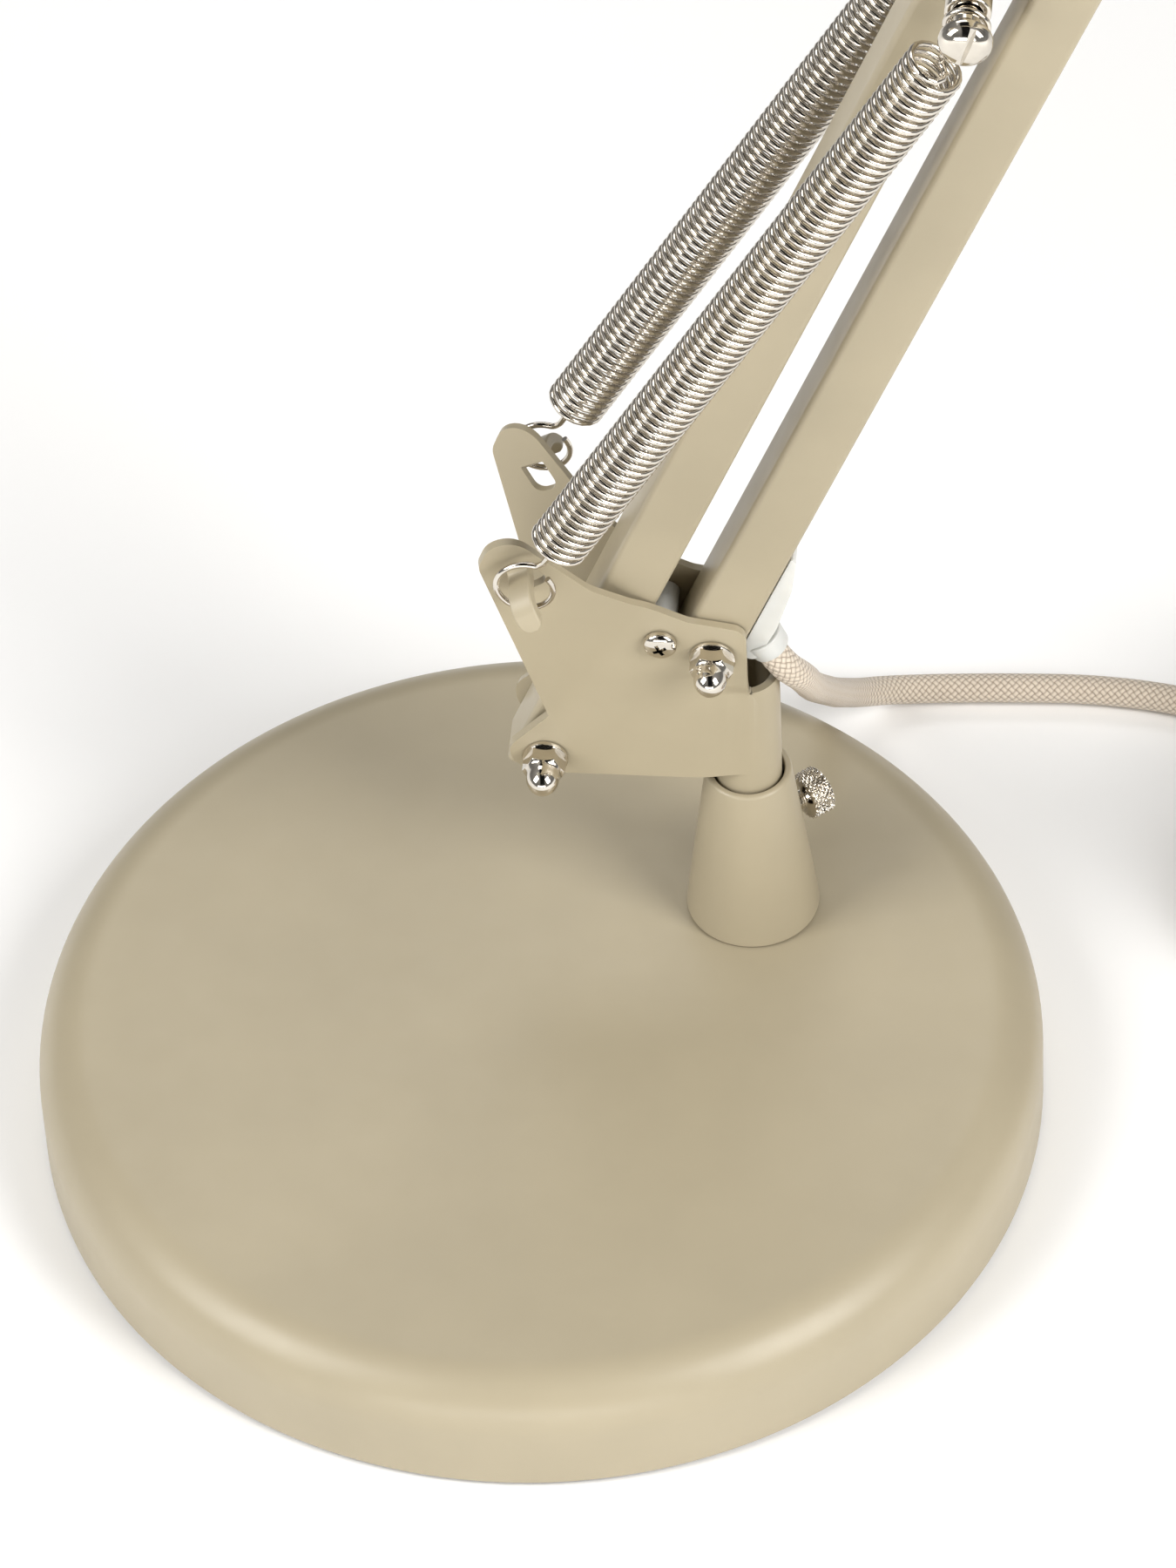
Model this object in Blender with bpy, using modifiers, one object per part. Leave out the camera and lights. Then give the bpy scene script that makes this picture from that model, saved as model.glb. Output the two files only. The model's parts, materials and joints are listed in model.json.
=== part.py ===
"""Architect desk lamp: a round weighted foot, a swivelling sheet bracket, two parallelogram arm stages
balanced by pairs of extension springs, a tilting bell shade, and a fabric cord with its coil and plug.

Frame: metres, +Z up, origin at the centre of the foot pad's underside. The arms move in a plane
parallel to XZ through the post, and lean towards +X as they go down.
"""

import math

import bmesh
import bpy
from mathutils import Matrix, Vector

# Foot
FOOT_RADIUS = 0.095
FOOT_TOP = 0.0243
FOOT_ROUND = 0.0105
SHEET = 0.0012
PAD_THICK = 0.0015
BALLAST_RADIUS = 0.086

# Post: a conical socket screwed to the foot, off its centre
POST_X, POST_Y = 0.0385, 0.0291
SOCKET_TOP = 0.0617
SOCKET_FOOT_RADIUS, SOCKET_TOP_RADIUS = 0.0127, 0.0081
SPIGOT_RADIUS = 0.0064
SPIGOT_FOOT = 0.0335
CLAMP_HEIGHT, CLAMP_ANGLE = 0.0445, math.radians(41)

# Swivel bracket, folded from one sheet
BRACKET_SHEET = 0.0015
CHEEK_OUT = 0.0075
ROLL_TOP = 0.0886
NECK_LENGTH = 0.0095
FLARE_POINT = (0.0128, 0.0970)
FLARE_ANGLE = math.radians(60)
FLARE_SLOPE = 0.24

# Arms
ARM_TILT = math.radians(68.25)
ARM_WIDTH, ARM_WALL, ARM_ROUND = 0.0112, 0.0009, 0.0013
ARM_END = 0.0062
LOWER_LENGTH = 0.360
LINK_PIVOT = (0.0014, 0.0709)
MAIN_PIVOT = (0.0334, 0.0996)
MAIN_OFFSET = 0.0008
UPPER_TILT = math.radians(155)
UPPER_LENGTH = 0.320
UPPER_SPACING = 0.020
BOLT_RADIUS = 0.002
GAP = 0.0003

# Springs
SPRING_RADIUS, WIRE_RADIUS = 0.0055, 0.00075
SPRING_Y = 0.0177
RING_RADIUS = 0.00485
EYE = (0.0009, 0.1273)
CROSSBAR_ALONG, CROSSBAR_OFFSET = 0.2130, 0.0014
CROSSBAR_RADIUS = 0.004

# Shade
SHADE_TILT = math.radians(-12)
CUP_TOP, CUP_RADIUS = -0.0200, 0.0230
SHADE_RADIUS, SHADE_LENGTH = 0.075, 0.105

# Cord
CORD_RADIUS = 0.0029
CORD_STANDOFF = 0.0094
COIL_CENTRE = (0.1780, 0.0480)
COIL_RADIUS = 0.0335
COIL_HALF_WIDTH, COIL_HEIGHT = 0.0092, 0.0176

COLOURS = {
    "paint": ((0.50, 0.45, 0.32, 1), 0.45, 0.0),
    "nickel": ((0.75, 0.72, 0.66, 1), 0.18, 1.0),
    "iron": ((0.10, 0.10, 0.10, 1), 0.70, 1.0),
    "pad": ((0.03, 0.03, 0.03, 1), 0.90, 0.0),
    "nylon": ((0.80, 0.80, 0.77, 1), 0.40, 0.0),
    "black": ((0.03, 0.03, 0.03, 1), 0.40, 0.0),
    "fabric": ((0.66, 0.58, 0.48, 1), 0.85, 0.0),
    "glass": ((0.90, 0.90, 0.86, 1), 0.15, 0.0),
}


def clear_scene():
    for obj in list(bpy.data.objects):
        bpy.data.objects.remove(obj)


def new_collection(name):
    collection = bpy.data.collections.new(name)
    bpy.context.scene.collection.children.link(collection)
    return collection


def new_material(name, kind):
    colour, roughness, metallic = COLOURS[kind]
    material = bpy.data.materials.new(name)
    material.use_nodes = True
    shader = material.node_tree.nodes["Principled BSDF"]
    shader.inputs["Base Color"].default_value = colour
    shader.inputs["Roughness"].default_value = roughness
    shader.inputs["Metallic"].default_value = metallic
    return material


def place(name, data, kind=None, frame=None):
    """Links a node, with its own material, or a helper when it has no kind."""
    obj = bpy.data.objects.new(name, data)
    if kind:
        lamp.objects.link(obj)
        data.materials.append(new_material(name, kind))
    else:
        helpers.objects.link(obj)
        obj.hide_render = True
        obj.display_type = "WIRE"
    if frame:
        obj.matrix_world = frame
    return obj


# ---- frames and 2D outlines

def axes(origin, x_axis, y_axis):
    """A frame at origin whose X and Y run along two perpendicular directions."""
    x_axis = Vector(x_axis).normalized()
    y_axis = Vector(y_axis).normalized()
    turn = Matrix((x_axis, y_axis, x_axis.cross(y_axis))).transposed()
    return Matrix.Translation(origin) @ turn.to_4x4()


def across(x, z, y=0.0):
    """A turning frame with its own Z along world -Y, at a point of the arms' plane."""
    return axes((x, POST_Y + y, z), (1, 0, 0), (0, 0, 1))


def upright(x=0.0, y=0.0, z=0.0):
    return Matrix.Translation((x, y, z))


def arc(x, y, radius, start, end, count):
    step = (end - start) / count
    return [
        (x + radius * math.cos(start + step * i), y + radius * math.sin(start + step * i))
        for i in range(count + 1)
    ]


def ring_of(x, y, radius, count=20):
    return arc(x, y, radius, 0, 2 * math.pi, count)[:-1]


def rounded(corners, count=3):
    """An outline from (x, y, radius) corners, each rounded by an arc."""
    points = []
    for i, (x, y, radius) in enumerate(corners):
        here = Vector((x, y))
        to_last = (Vector(corners[i - 1][:2]) - here).normalized()
        to_next = (Vector(corners[(i + 1) % len(corners)][:2]) - here).normalized()
        if radius == 0:
            points.append((x, y))
            continue
        half = to_last.angle(to_next) / 2
        reach = radius / math.tan(half)
        centre = here + (to_last + to_next).normalized() * radius / math.sin(half)
        first = here + to_last * reach - centre
        last = here + to_next * reach - centre
        turn = first.angle_signed(last)
        for k in range(count + 1):
            spot = first.copy()
            spot.rotate(Matrix.Rotation(-turn * k / count, 2))
            points.append(tuple(centre + spot))
    return points


def strip(path, thickness):
    """The outline of a band of even thickness along a 2D path."""
    left, right = [], []
    for i, point in enumerate(path):
        before = Vector(path[max(i - 1, 0)])
        after = Vector(path[min(i + 1, len(path) - 1)])
        along = (after - before).normalized()
        side = Vector((-along.y, along.x)) * thickness / 2
        left.append(tuple(Vector(point) + side))
        right.append(tuple(Vector(point) - side))
    return left + right[::-1]


# ---- solids

def spline(data, points, closed):
    line = data.splines.new("POLY")
    line.points.add(len(points) - 1)
    for knot, point in zip(line.points, points):
        knot.co = (*point, 1) if len(point) == 3 else (*point, 0, 1)
    line.use_cyclic_u = closed


def flat(name, loops, thickness, frame, kind=None):
    """A plate from 2D outlines, the later ones holes, centred on its frame's XY plane."""
    data = bpy.data.curves.new(name, "CURVE")
    data.dimensions = "2D"
    data.fill_mode = "BOTH"
    data.extrude = thickness / 2
    for loop in loops:
        spline(data, loop, True)
    return place(name, data, kind, frame)


def wire(name, points, radius, kind=None, resolution=2, closed=False):
    data = bpy.data.curves.new(name, "CURVE")
    data.dimensions = "3D"
    data.bevel_depth = radius
    data.bevel_resolution = resolution
    data.use_fill_caps = not closed
    spline(data, points, closed)
    return place(name, data, kind)


def turned(name, profile, frame, kind=None, steps=28, closed=False):
    """A turned solid: the profile runs down its outer side, as (radius, height)."""
    edges = [(i, i + 1) for i in range(len(profile) - 1)]
    if closed:
        edges.append((len(profile) - 1, 0))
    mesh = bpy.data.meshes.new(name)
    mesh.from_pydata([(radius, 0, height) for radius, height in profile], edges, [])
    obj = place(name, mesh, kind, frame)
    screw = obj.modifiers.new("Turn", "SCREW")
    screw.steps = steps
    screw.render_steps = steps
    screw.use_merge_vertices = True
    screw.merge_threshold = 0.00001
    screw.use_smooth_shade = True
    return obj


def rod(name, radius, start, end, frame, kind=None, steps=14):
    return turned(name, [(0, end), (radius, end), (radius, start), (0, start)], frame, kind, steps)


def prism(name, sides, radius, start, end, frame, kind=None):
    """A regular prism along its frame's Z."""
    mesh = bpy.data.meshes.new(name)
    form = bmesh.new()
    middle = Matrix.Translation((0, 0, (start + end) / 2))
    bmesh.ops.create_cone(form, cap_ends=True, segments=sides, radius1=radius, radius2=radius,
                          depth=end - start, matrix=middle)
    form.to_mesh(mesh)
    form.free()
    return place(name, mesh, kind, frame)


def as_mesh(obj, kind=None):
    """Replaces an object by the mesh of its evaluated shape, welded."""
    bpy.context.view_layer.update()
    graph = bpy.context.evaluated_depsgraph_get()
    name = obj.name
    mesh = bpy.data.meshes.new_from_object(obj.evaluated_get(graph))
    frame = obj.matrix_world.copy()
    bpy.data.objects.remove(obj)
    form = bmesh.new()
    form.from_mesh(mesh)
    bmesh.ops.remove_doubles(form, verts=form.verts, dist=0.000002)
    form.to_mesh(mesh)
    form.free()
    mesh.materials.clear()
    mesh.name = name
    fresh = place(name, mesh, kind, frame)
    return fresh


def combine(obj, other, operation):
    step = obj.modifiers.new(other.name, "BOOLEAN")
    step.operation = operation
    step.object = other
    return obj


# ---- foot and post

def make_foot():
    inner = FOOT_RADIUS - SHEET
    top = arc(FOOT_RADIUS - FOOT_ROUND, FOOT_TOP - FOOT_ROUND, FOOT_ROUND, math.pi / 2, 0, 5)
    under = arc(inner - FOOT_ROUND + SHEET, FOOT_TOP - FOOT_ROUND, FOOT_ROUND - SHEET, 0, math.pi / 2, 3)
    rim = 0.0008
    profile = [(0, FOOT_TOP), *top, (FOOT_RADIUS, rim), (inner, rim), *under, (0, FOOT_TOP - SHEET)]
    cover = turned("base_cover", profile, upright(), "paint", 44)
    combine(cover, rod("base_cover_hole", 0.0045, 0.010, 0.030, upright(POST_X, POST_Y)), "DIFFERENCE")

    weight_top = FOOT_TOP - SHEET - GAP
    ballast = turned("base_ballast", [
        (0, weight_top), (BALLAST_RADIUS - 0.004, weight_top), (BALLAST_RADIUS, weight_top - 0.006),
        (BALLAST_RADIUS, 0.007), (0, 0.007)], upright(), "iron", 28)
    combine(ballast, rod("ballast_hole", 0.0045, 0.001, 0.030, upright(POST_X, POST_Y)), "DIFFERENCE")

    pad_radius = FOOT_RADIUS - SHEET - 0.0012
    pad = rod("foot_pad", pad_radius, 0, PAD_THICK, upright(), "pad", 32)
    combine(pad, rod("pad_hole", 0.011, -0.002, 0.004, upright(POST_X, POST_Y)), "DIFFERENCE")
    post = upright(POST_X, POST_Y)
    bolt = turned("socket_bolt", [
        (0, 0.0320), (0.0040, 0.0320), (0.0040, 0.0067), (0.0080, 0.0067), (0.0080, 0.0022),
        (0, 0.0022)], post, "nickel", 18)
    bolt.modifiers["Turn"].use_smooth_shade = False


def make_post():
    foot = FOOT_TOP + GAP
    bore = SPIGOT_RADIUS + 0.0004
    lip = 0.0006
    socket = turned("post_socket", [
        (bore + 0.0001, SOCKET_TOP), (SOCKET_TOP_RADIUS - lip, SOCKET_TOP),
        (SOCKET_TOP_RADIUS, SOCKET_TOP - lip), (SOCKET_FOOT_RADIUS, foot + 0.0003),
        (SOCKET_FOOT_RADIUS - 0.0003, foot), (0.0043, foot), (0.0043, 0.0323), (bore, 0.0323)],
        upright(POST_X, POST_Y), "paint", 24, closed=True)
    outward = Vector((math.cos(CLAMP_ANGLE), math.sin(CLAMP_ANGLE), 0))
    along = axes((POST_X, POST_Y, CLAMP_HEIGHT), (0, 0, 1), Vector((0, 0, 1)).cross(-outward))
    if (along.to_3x3() @ Vector((0, 0, 1))).dot(outward) < 0:
        along = along @ Matrix.Rotation(math.pi, 4, "X")
    combine(socket, rod("clamp_hole", 0.0023, 0.004, 0.020, along), "DIFFERENCE")
    turned("clamp_screw", [
        (0, 0.0170), (0.0038, 0.0170), (0.0043, 0.0166), (0.0043, 0.0124), (0.0038, 0.0120),
        (0.0019, 0.0120), (0.0019, 0.0068), (0, 0.0068)], along, "nickel", 20)


# ---- swivel bracket

def flare(x, z):
    """How far a cheek stands outwards at a point, past its soft fold."""
    past = -math.sin(FLARE_ANGLE) * (x - FLARE_POINT[0]) + math.cos(FLARE_ANGLE) * (z - FLARE_POINT[1])
    bend = 0.0025
    if past <= -bend:
        return 0.0
    if past < bend:
        return FLARE_SLOPE * (past + bend) ** 2 / (4 * bend)
    return FLARE_SLOPE * past


def eased(share):
    share = min(max(share, 0.0), 1.0)
    return share * share * (3 - 2 * share)


def narrowing(x):
    """How much nearer the middle a cheek stands at x, where it closes in on the post."""
    return (CHEEK_OUT - SPIGOT_RADIUS) * eased((x - POST_X + NECK_LENGTH) / NECK_LENGTH)


def widening(x, z):
    """How far a cheek opens again above the roll, where it is no longer closed round the post."""
    return narrowing(x) * eased((z - ROLL_TOP) / 0.0040)


def make_bracket():
    roll = SPIGOT_RADIUS - BRACKET_SHEET / 2
    middle = CHEEK_OUT - BRACKET_SHEET / 2
    half = [(-0.016, middle)] + [
        (POST_X - NECK_LENGTH * t, middle - narrowing(POST_X - NECK_LENGTH * t))
        for t in (1.0, 0.75, 0.5, 0.25)]
    bow = arc(POST_X, 0, roll, math.pi / 2, -math.pi / 2, 12)
    path = half + bow + [(x, -y) for x, y in reversed(half)]
    height = 0.090
    sheet = as_mesh(flat("pivot_bracket", [strip(path, BRACKET_SHEET)], height,
                         upright(0, POST_Y, 0.060 + height / 2)))

    side = rounded([
        (-0.0078, 0.1297, 0.0050), (-0.0045, 0.1385, 0.0041), (0.0008, 0.1340, 0.0060),
        (0.0118, 0.1190, 0.010), (0.0190, 0.1135, 0.012), (0.0290, 0.1085, 0.006),
        (0.0396, 0.1065, 0.0035), (0.0396, ROLL_TOP, 0.0004), (0.0470, ROLL_TOP, 0),
        (0.0470, 0.0664, 0), (-0.0052, 0.0664, 0.0062), (-0.0052, 0.0745, 0.0040),
        (0.0024, 0.0824, 0.0003)][::-1])
    slot_start, slot_end = Vector((-0.0004, 0.1279)), Vector((0.0026, 0.1226))
    way = (slot_end - slot_start).normalized()
    wide = Vector((-way.y, way.x)) * 0.0024
    slot = rounded([
        (*(slot_start + wide), 0.0003), (*(slot_start - wide), 0.0003),
        (*(slot_end - wide), 0.0018), (*(slot_end + wide), 0.0018)])
    holes = [ring_of(*spot, 0.00235, 12) for spot in (LINK_PIVOT, MAIN_PIVOT, STOP_PIVOT)]
    profile = flat("bracket_side", [side, slot, *holes], 0.040, across(0, 0))
    combine(sheet, as_mesh(profile), "INTERSECT")
    sheet = as_mesh(sheet)

    form = bmesh.new()
    form.from_mesh(sheet.data)
    bmesh.ops.triangulate(form, faces=form.faces[:])
    normal = Vector((-math.sin(FLARE_ANGLE), 0, math.cos(FLARE_ANGLE)))
    base = sheet.matrix_world.translation
    for past in (-0.0025, -0.0008, 0.0008, 0.0025):
        spot = Vector((FLARE_POINT[0], 0, FLARE_POINT[1])) + normal * past - base
        bmesh.ops.bisect_plane(form, geom=form.verts[:] + form.edges[:] + form.faces[:],
                               dist=0.000001, plane_co=(spot.x, 0, spot.z), plane_no=normal)
    for vert in form.verts:
        vert.co.y += math.copysign(flare(vert.co.x + base.x, vert.co.z + base.z), vert.co.y)
    for height in (ROLL_TOP, ROLL_TOP + 0.0013, ROLL_TOP + 0.0027, ROLL_TOP + 0.0040):
        bmesh.ops.bisect_plane(form, geom=form.verts[:] + form.edges[:] + form.faces[:],
                               dist=0.000001, plane_co=(0, 0, height - base.z), plane_no=(0, 0, 1))
    for vert in form.verts:
        vert.co.y += math.copysign(widening(vert.co.x + base.x, vert.co.z + base.z), vert.co.y)
    form.to_mesh(sheet.data)
    form.free()
    bracket = as_mesh(sheet, "paint")

    outer, inner = SPIGOT_RADIUS - 0.0002, SPIGOT_RADIUS - BRACKET_SHEET + 0.0002
    spigot = turned("spigot", [
        (inner, 0.0690), (outer, 0.0690), (outer, SPIGOT_FOOT), (inner, SPIGOT_FOOT)],
        upright(POST_X, POST_Y), None, 22, closed=True)
    combine(bracket, spigot, "UNION")
    curl = [(-0.0016, -0.0005), (0.0000, -0.0006), (0.0012, 0.0006), (0.0017, 0.0024), (0.0021, 0.0046),
            (0.0030, 0.0066), (0.0046, 0.0080), (0.0068, 0.0088)]
    for side_name, sign in (("front", -1), ("rear", 1)):
        face = CHEEK_OUT + flare(slot_start.x, slot_start.y)
        frame = axes((slot_start.x, POST_Y + sign * face, slot_start.y), (way.x, 0, way.y), (0, sign, 0))
        tongue = flat("tongue_" + side_name, [strip(curl, 0.0011)], 0.0040, frame)
        combine(bracket, as_mesh(tongue), "UNION")


def acorn_nut(name, x, z):
    """A domed nut with a flange, open at its back, on the bracket's front face."""
    seat = CHEEK_OUT + GAP
    frame = across(x, z)
    nut = turned(name, [
        (0, seat + 0.0090), (0.0013, seat + 0.0087), (0.0024, seat + 0.0078), (0.0031, seat + 0.0064),
        (0.0033, seat + 0.0048), (0.0033, seat + 0.0030), (0.0043, seat + 0.0007), (0.0043, seat),
        (0, seat)], frame, "nickel", 16)
    combine(nut, prism(name + "_hex", 6, 0.00400, seat + 0.0004, seat + 0.0040, frame), "UNION")
    combine(nut, rod(name + "_bore", BOLT_RADIUS + GAP, seat - 0.002, seat + 0.0058, frame), "DIFFERENCE")


def bolt(name, x, z):
    """A hex-headed pivot bolt, its head on the bracket's rear face."""
    seat = CHEEK_OUT + GAP
    frame = across(x, z)
    shank = rod(name, BOLT_RADIUS, -seat - 0.0012, seat + 0.0050, frame, "nickel", 16)
    combine(shank, prism(name + "_head", 6, 0.0040, -seat - 0.0028, -seat, frame), "UNION")


def make_stop():
    x, z = STOP_PIVOT
    seat = CHEEK_OUT + GAP
    frame = across(x, z)
    turned("stop_screw", [
        (0, seat + 0.0021), (0.0018, seat + 0.0019), (0.0030, seat + 0.0010), (0.0033, seat),
        (0.0017, seat), (0.0017, -seat - 0.0030), (0, -seat - 0.0030)], frame, "nickel", 14)
    turned("stop_sleeve", [
        (0.0021, 0.0057), (0.0027, 0.0057), (0.0027, -0.0057), (0.0021, -0.0057)],
        frame, "nylon", 16, closed=True)
    nut = prism("stop_nut", 6, 0.0040, -seat - 0.0026, -seat, frame, "nickel")
    combine(nut, rod("stop_nut_bore", 0.0020, -0.020, 0, frame), "DIFFERENCE")


# ---- arms

def beam(name, start, tilt, length, holes, offset=0.0):
    """A square tube between two pivots, drilled across at (distance along, offset, radius)."""
    half = ARM_WIDTH / 2
    inner = half - ARM_WALL
    outer_loop = rounded([(-half, -half, ARM_ROUND), (half, -half, ARM_ROUND), (half, half, ARM_ROUND),
                          (-half, half, ARM_ROUND)], 3)
    inner_round = ARM_ROUND - ARM_WALL
    inner_loop = rounded([(-inner, -inner, inner_round), (inner, -inner, inner_round),
                          (inner, inner, inner_round), (-inner, inner, inner_round)], 1)
    along = Vector((math.cos(tilt), 0, math.sin(tilt)))
    side = Vector((math.sin(tilt), 0, -math.cos(tilt)))
    origin = Vector((start[0], POST_Y, start[1]))
    middle = origin + along * length / 2 - side * offset
    frame = axes(middle, side, along.cross(side))
    tube = as_mesh(flat(name, [outer_loop, inner_loop], length + 2 * ARM_END, frame), "paint")
    for i, (distance, sideways, radius) in enumerate(holes):
        spot = origin + along * distance + side * sideways
        combine(tube, rod(f"{name}_drill_{i}", radius, -0.010, 0.010, across(spot.x, spot.z)), "DIFFERENCE")
    return tube


def spot_on(start, tilt, along, sideways=0.0):
    """A point beside an arm's centre line, to its right as it points up."""
    return (start[0] + along * math.cos(tilt) + sideways * math.sin(tilt),
            start[1] + along * math.sin(tilt) - sideways * math.cos(tilt))


def make_grommet():
    """A nylon shoe on the main arm's lower face, which leads the cord out and down."""
    half = ARM_WIDTH / 2 - MAIN_OFFSET + GAP
    side = rounded([
        (-0.0045, half, 0.0003), (-0.0062, half + 0.0050, 0.0006), (0.0010, half + 0.0052, 0.0060),
        (0.0120, half + 0.0034, 0.010), (0.0200, half, 0.0006)], 3)
    along = (math.cos(ARM_TILT), 0, math.sin(ARM_TILT))
    outward = (math.sin(ARM_TILT), 0, -math.cos(ARM_TILT))
    frame = axes((MAIN_PIVOT[0], POST_Y, MAIN_PIVOT[1]), along, outward)
    body = as_mesh(flat("cord_grommet", [side], 0.0096, frame), "nylon")
    entry = Vector(CORD_ROUTE[0])
    lead = (Vector(CORD_ROUTE[1]) - entry).normalized()
    bore = axes(entry, lead.cross(Vector((0, 1, 0))), Vector((0, 1, 0)) - lead * lead.y)
    pocket = rod("grommet_bore", CORD_RADIUS + GAP, -0.0030, 0.012, bore)
    pocket_away = (bore.to_3x3() @ Vector((0, 0, 1))).dot(lead)
    if pocket_away < 0:
        pocket.matrix_world = bore @ Matrix.Rotation(math.pi, 4, "X")
    combine(body, pocket, "DIFFERENCE")


def crossbar(prefix, x, z, joined):
    """A bar across the arm, and the slotted screws in its ends that hold the springs' loops."""
    frame = across(x, z)
    end, neck, head = 0.0148, 0.0024, 0.0047
    outer = SPRING_Y + 0.0030
    tip = [(0, outer + 0.0036), (0.0022, outer + 0.0034), (0.0040, outer + 0.0024), (head, outer + 0.0010),
           (head, outer)]
    if joined:
        half = tip + [(neck, outer), (neck, end), (CROSSBAR_RADIUS, end)]
        whole = half + [(radius, -height) for radius, height in reversed(half)]
        turned(prefix, whole, frame, "nickel", 14)
        return
    bore = 0.0027
    turned(prefix, [(bore, end), (CROSSBAR_RADIUS, end), (CROSSBAR_RADIUS, -end), (bore, -end)],
           frame, "nickel", 18, closed=True)
    for side_name, turn in (("front", 0), ("rear", math.pi)):
        facing = frame @ Matrix.Rotation(turn, 4, "X")
        screw = turned(f"{prefix}_screw_{side_name}", tip + [(neck, outer), (neck, 0.0070), (0, 0.0070)],
                       facing, "nickel", 16)
        groove = flat(f"{prefix}_groove_{side_name}", [
            [(-0.006, -0.0006), (0.006, -0.0006), (0.006, 0.0006), (-0.006, 0.0006)]], 0.0040,
            facing @ Matrix.Translation((0, 0, outer + 0.0038)) @ Matrix.Rotation(math.radians(70), 4, "Z"))
        combine(screw, as_mesh(groove), "DIFFERENCE")


def springs(prefix, near, far, near_gap, far_gap, near_ring, far_ring):
    """A pair of springs in the arms' plane: a hook and a coil at near, a loop at far, front and rear."""
    near, far = Vector((near[0], 0, near[1])), Vector((far[0], 0, far[1]))
    along = (far - near).normalized()
    length = (far - near).length
    inner = SPRING_RADIUS - 2 * WIRE_RADIUS
    for side_name, sign in (("front", -1), ("rear", 1)):
        lift = Vector((0, POST_Y + sign * SPRING_Y, 0))
        coil_frame = axes(near + lift, (0, 1, 0), along.cross(Vector((0, 1, 0))))
        turned(f"{prefix}_coil_{side_name}", [
            (inner, length - far_gap), (SPRING_RADIUS, length - far_gap), (SPRING_RADIUS, near_gap),
            (inner, near_gap)], coil_frame, "nickel", 18, closed=True)
        for part, spot, way, ring, gap in (
                ("hook", near, along, near_ring, near_gap), ("loop", far, -along, far_ring, far_gap)):
            radius, half_width = ring
            name = f"{prefix}_{part}_{side_name}"
            eye = turned(name, [
                (radius - WIRE_RADIUS, half_width), (radius + WIRE_RADIUS, half_width),
                (radius + WIRE_RADIUS, -half_width), (radius - WIRE_RADIUS, -half_width)],
                axes(spot + lift, (1, 0, 0), (0, 0, 1)), "nickel", 16, closed=True)
            neck = wire(name + "_neck", [spot + lift + way * radius, spot + lift + way * (gap + 0.003)],
                        WIRE_RADIUS)
            combine(eye, as_mesh(neck), "UNION")


def sheet_plate(name, corners, holes, side):
    """One flat cheek of the elbow or the head, at the front (-1) or the rear (1)."""
    loops = [rounded(corners)] + [ring_of(x, z, radius, 12) for x, z, radius in holes]
    middle = CHEEK_OUT - BRACKET_SHEET / 2
    flat(name, loops, BRACKET_SHEET, across(0, 0, side * middle), "paint")


def pivot_pin(name, x, z):
    """A shouldered pin with a domed head at each end, through two cheeks and an arm."""
    seat = CHEEK_OUT + GAP
    half = [(0, seat + 0.0026), (0.0019, seat + 0.0023), (0.0036, seat + 0.0012), (0.0040, seat),
            (BOLT_RADIUS, seat)]
    turned(name, half + [(radius, -height) for radius, height in reversed(half)],
           across(x, z), "nickel", 12)


def make_lower_stage():
    pivot_hole = BOLT_RADIUS + GAP
    beam("lower_arm_main", MAIN_PIVOT, ARM_TILT, LOWER_LENGTH,
         [(0, 0, pivot_hole), (LOWER_LENGTH, 0, pivot_hole)], MAIN_OFFSET)
    make_grommet()
    beam("lower_arm_link", LINK_PIVOT, ARM_TILT, LOWER_LENGTH,
         [(0, 0, pivot_hole), (LOWER_LENGTH, 0, LINK_SLACK_HOLE),
          (CROSSBAR_ALONG, CROSSBAR_OFFSET, CROSSBAR_RADIUS + GAP)])
    crossbar("lower_crossbar", *LOWER_BAR, joined=False)
    springs("lower_spring", EYE, LOWER_BAR, 0.0120, 0.0090, (RING_RADIUS, 0.0015), (0.0036, WIRE_RADIUS))


def make_elbow():
    hole = BOLT_RADIUS + GAP
    mast = (ELBOW_BAR[0], ELBOW_BAR[1], CROSSBAR_RADIUS + GAP)
    corners = [
        (ELBOW_LINK[0] - 0.011, ELBOW_LINK[1] - 0.006, 0.007),
        (ELBOW_LINK[0] + 0.000, ELBOW_LINK[1] - 0.014, 0.008),
        (ELBOW_MAIN[0] + 0.010, ELBOW_MAIN[1] - 0.012, 0.010),
        (ELBOW_MAIN[0] + 0.010, ELBOW_MAIN[1] + 0.014, 0.010),
        (UPPER_LINK[0] + 0.011, UPPER_LINK[1] + 0.004, 0.010),
        (ELBOW_BAR[0] + 0.010, ELBOW_BAR[1] - 0.006, 0.006),
        (ELBOW_BAR[0] + 0.006, ELBOW_BAR[1] + 0.010, 0.007),
        (ELBOW_BAR[0] - 0.009, ELBOW_BAR[1] + 0.006, 0.007),
        (UPPER_LINK[0] - 0.010, UPPER_LINK[1] + 0.006, 0.008),
        (UPPER_MAIN[0] - 0.010, UPPER_MAIN[1] - 0.002, 0.008)]
    pivots = {"elbow_pin_main": ELBOW_MAIN, "elbow_pin_link": ELBOW_LINK,
              "upper_pin_main": UPPER_MAIN, "upper_pin_link": UPPER_LINK}
    holes = [(*spot, hole) for spot in pivots.values()] + [mast]
    sheet_plate("elbow_plate_front", corners, holes, -1)
    sheet_plate("elbow_plate_rear", corners, holes, 1)
    for name, spot in pivots.items():
        pivot_pin(name, *spot)
    crossbar("elbow_crossbar", *ELBOW_BAR, joined=True)


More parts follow.
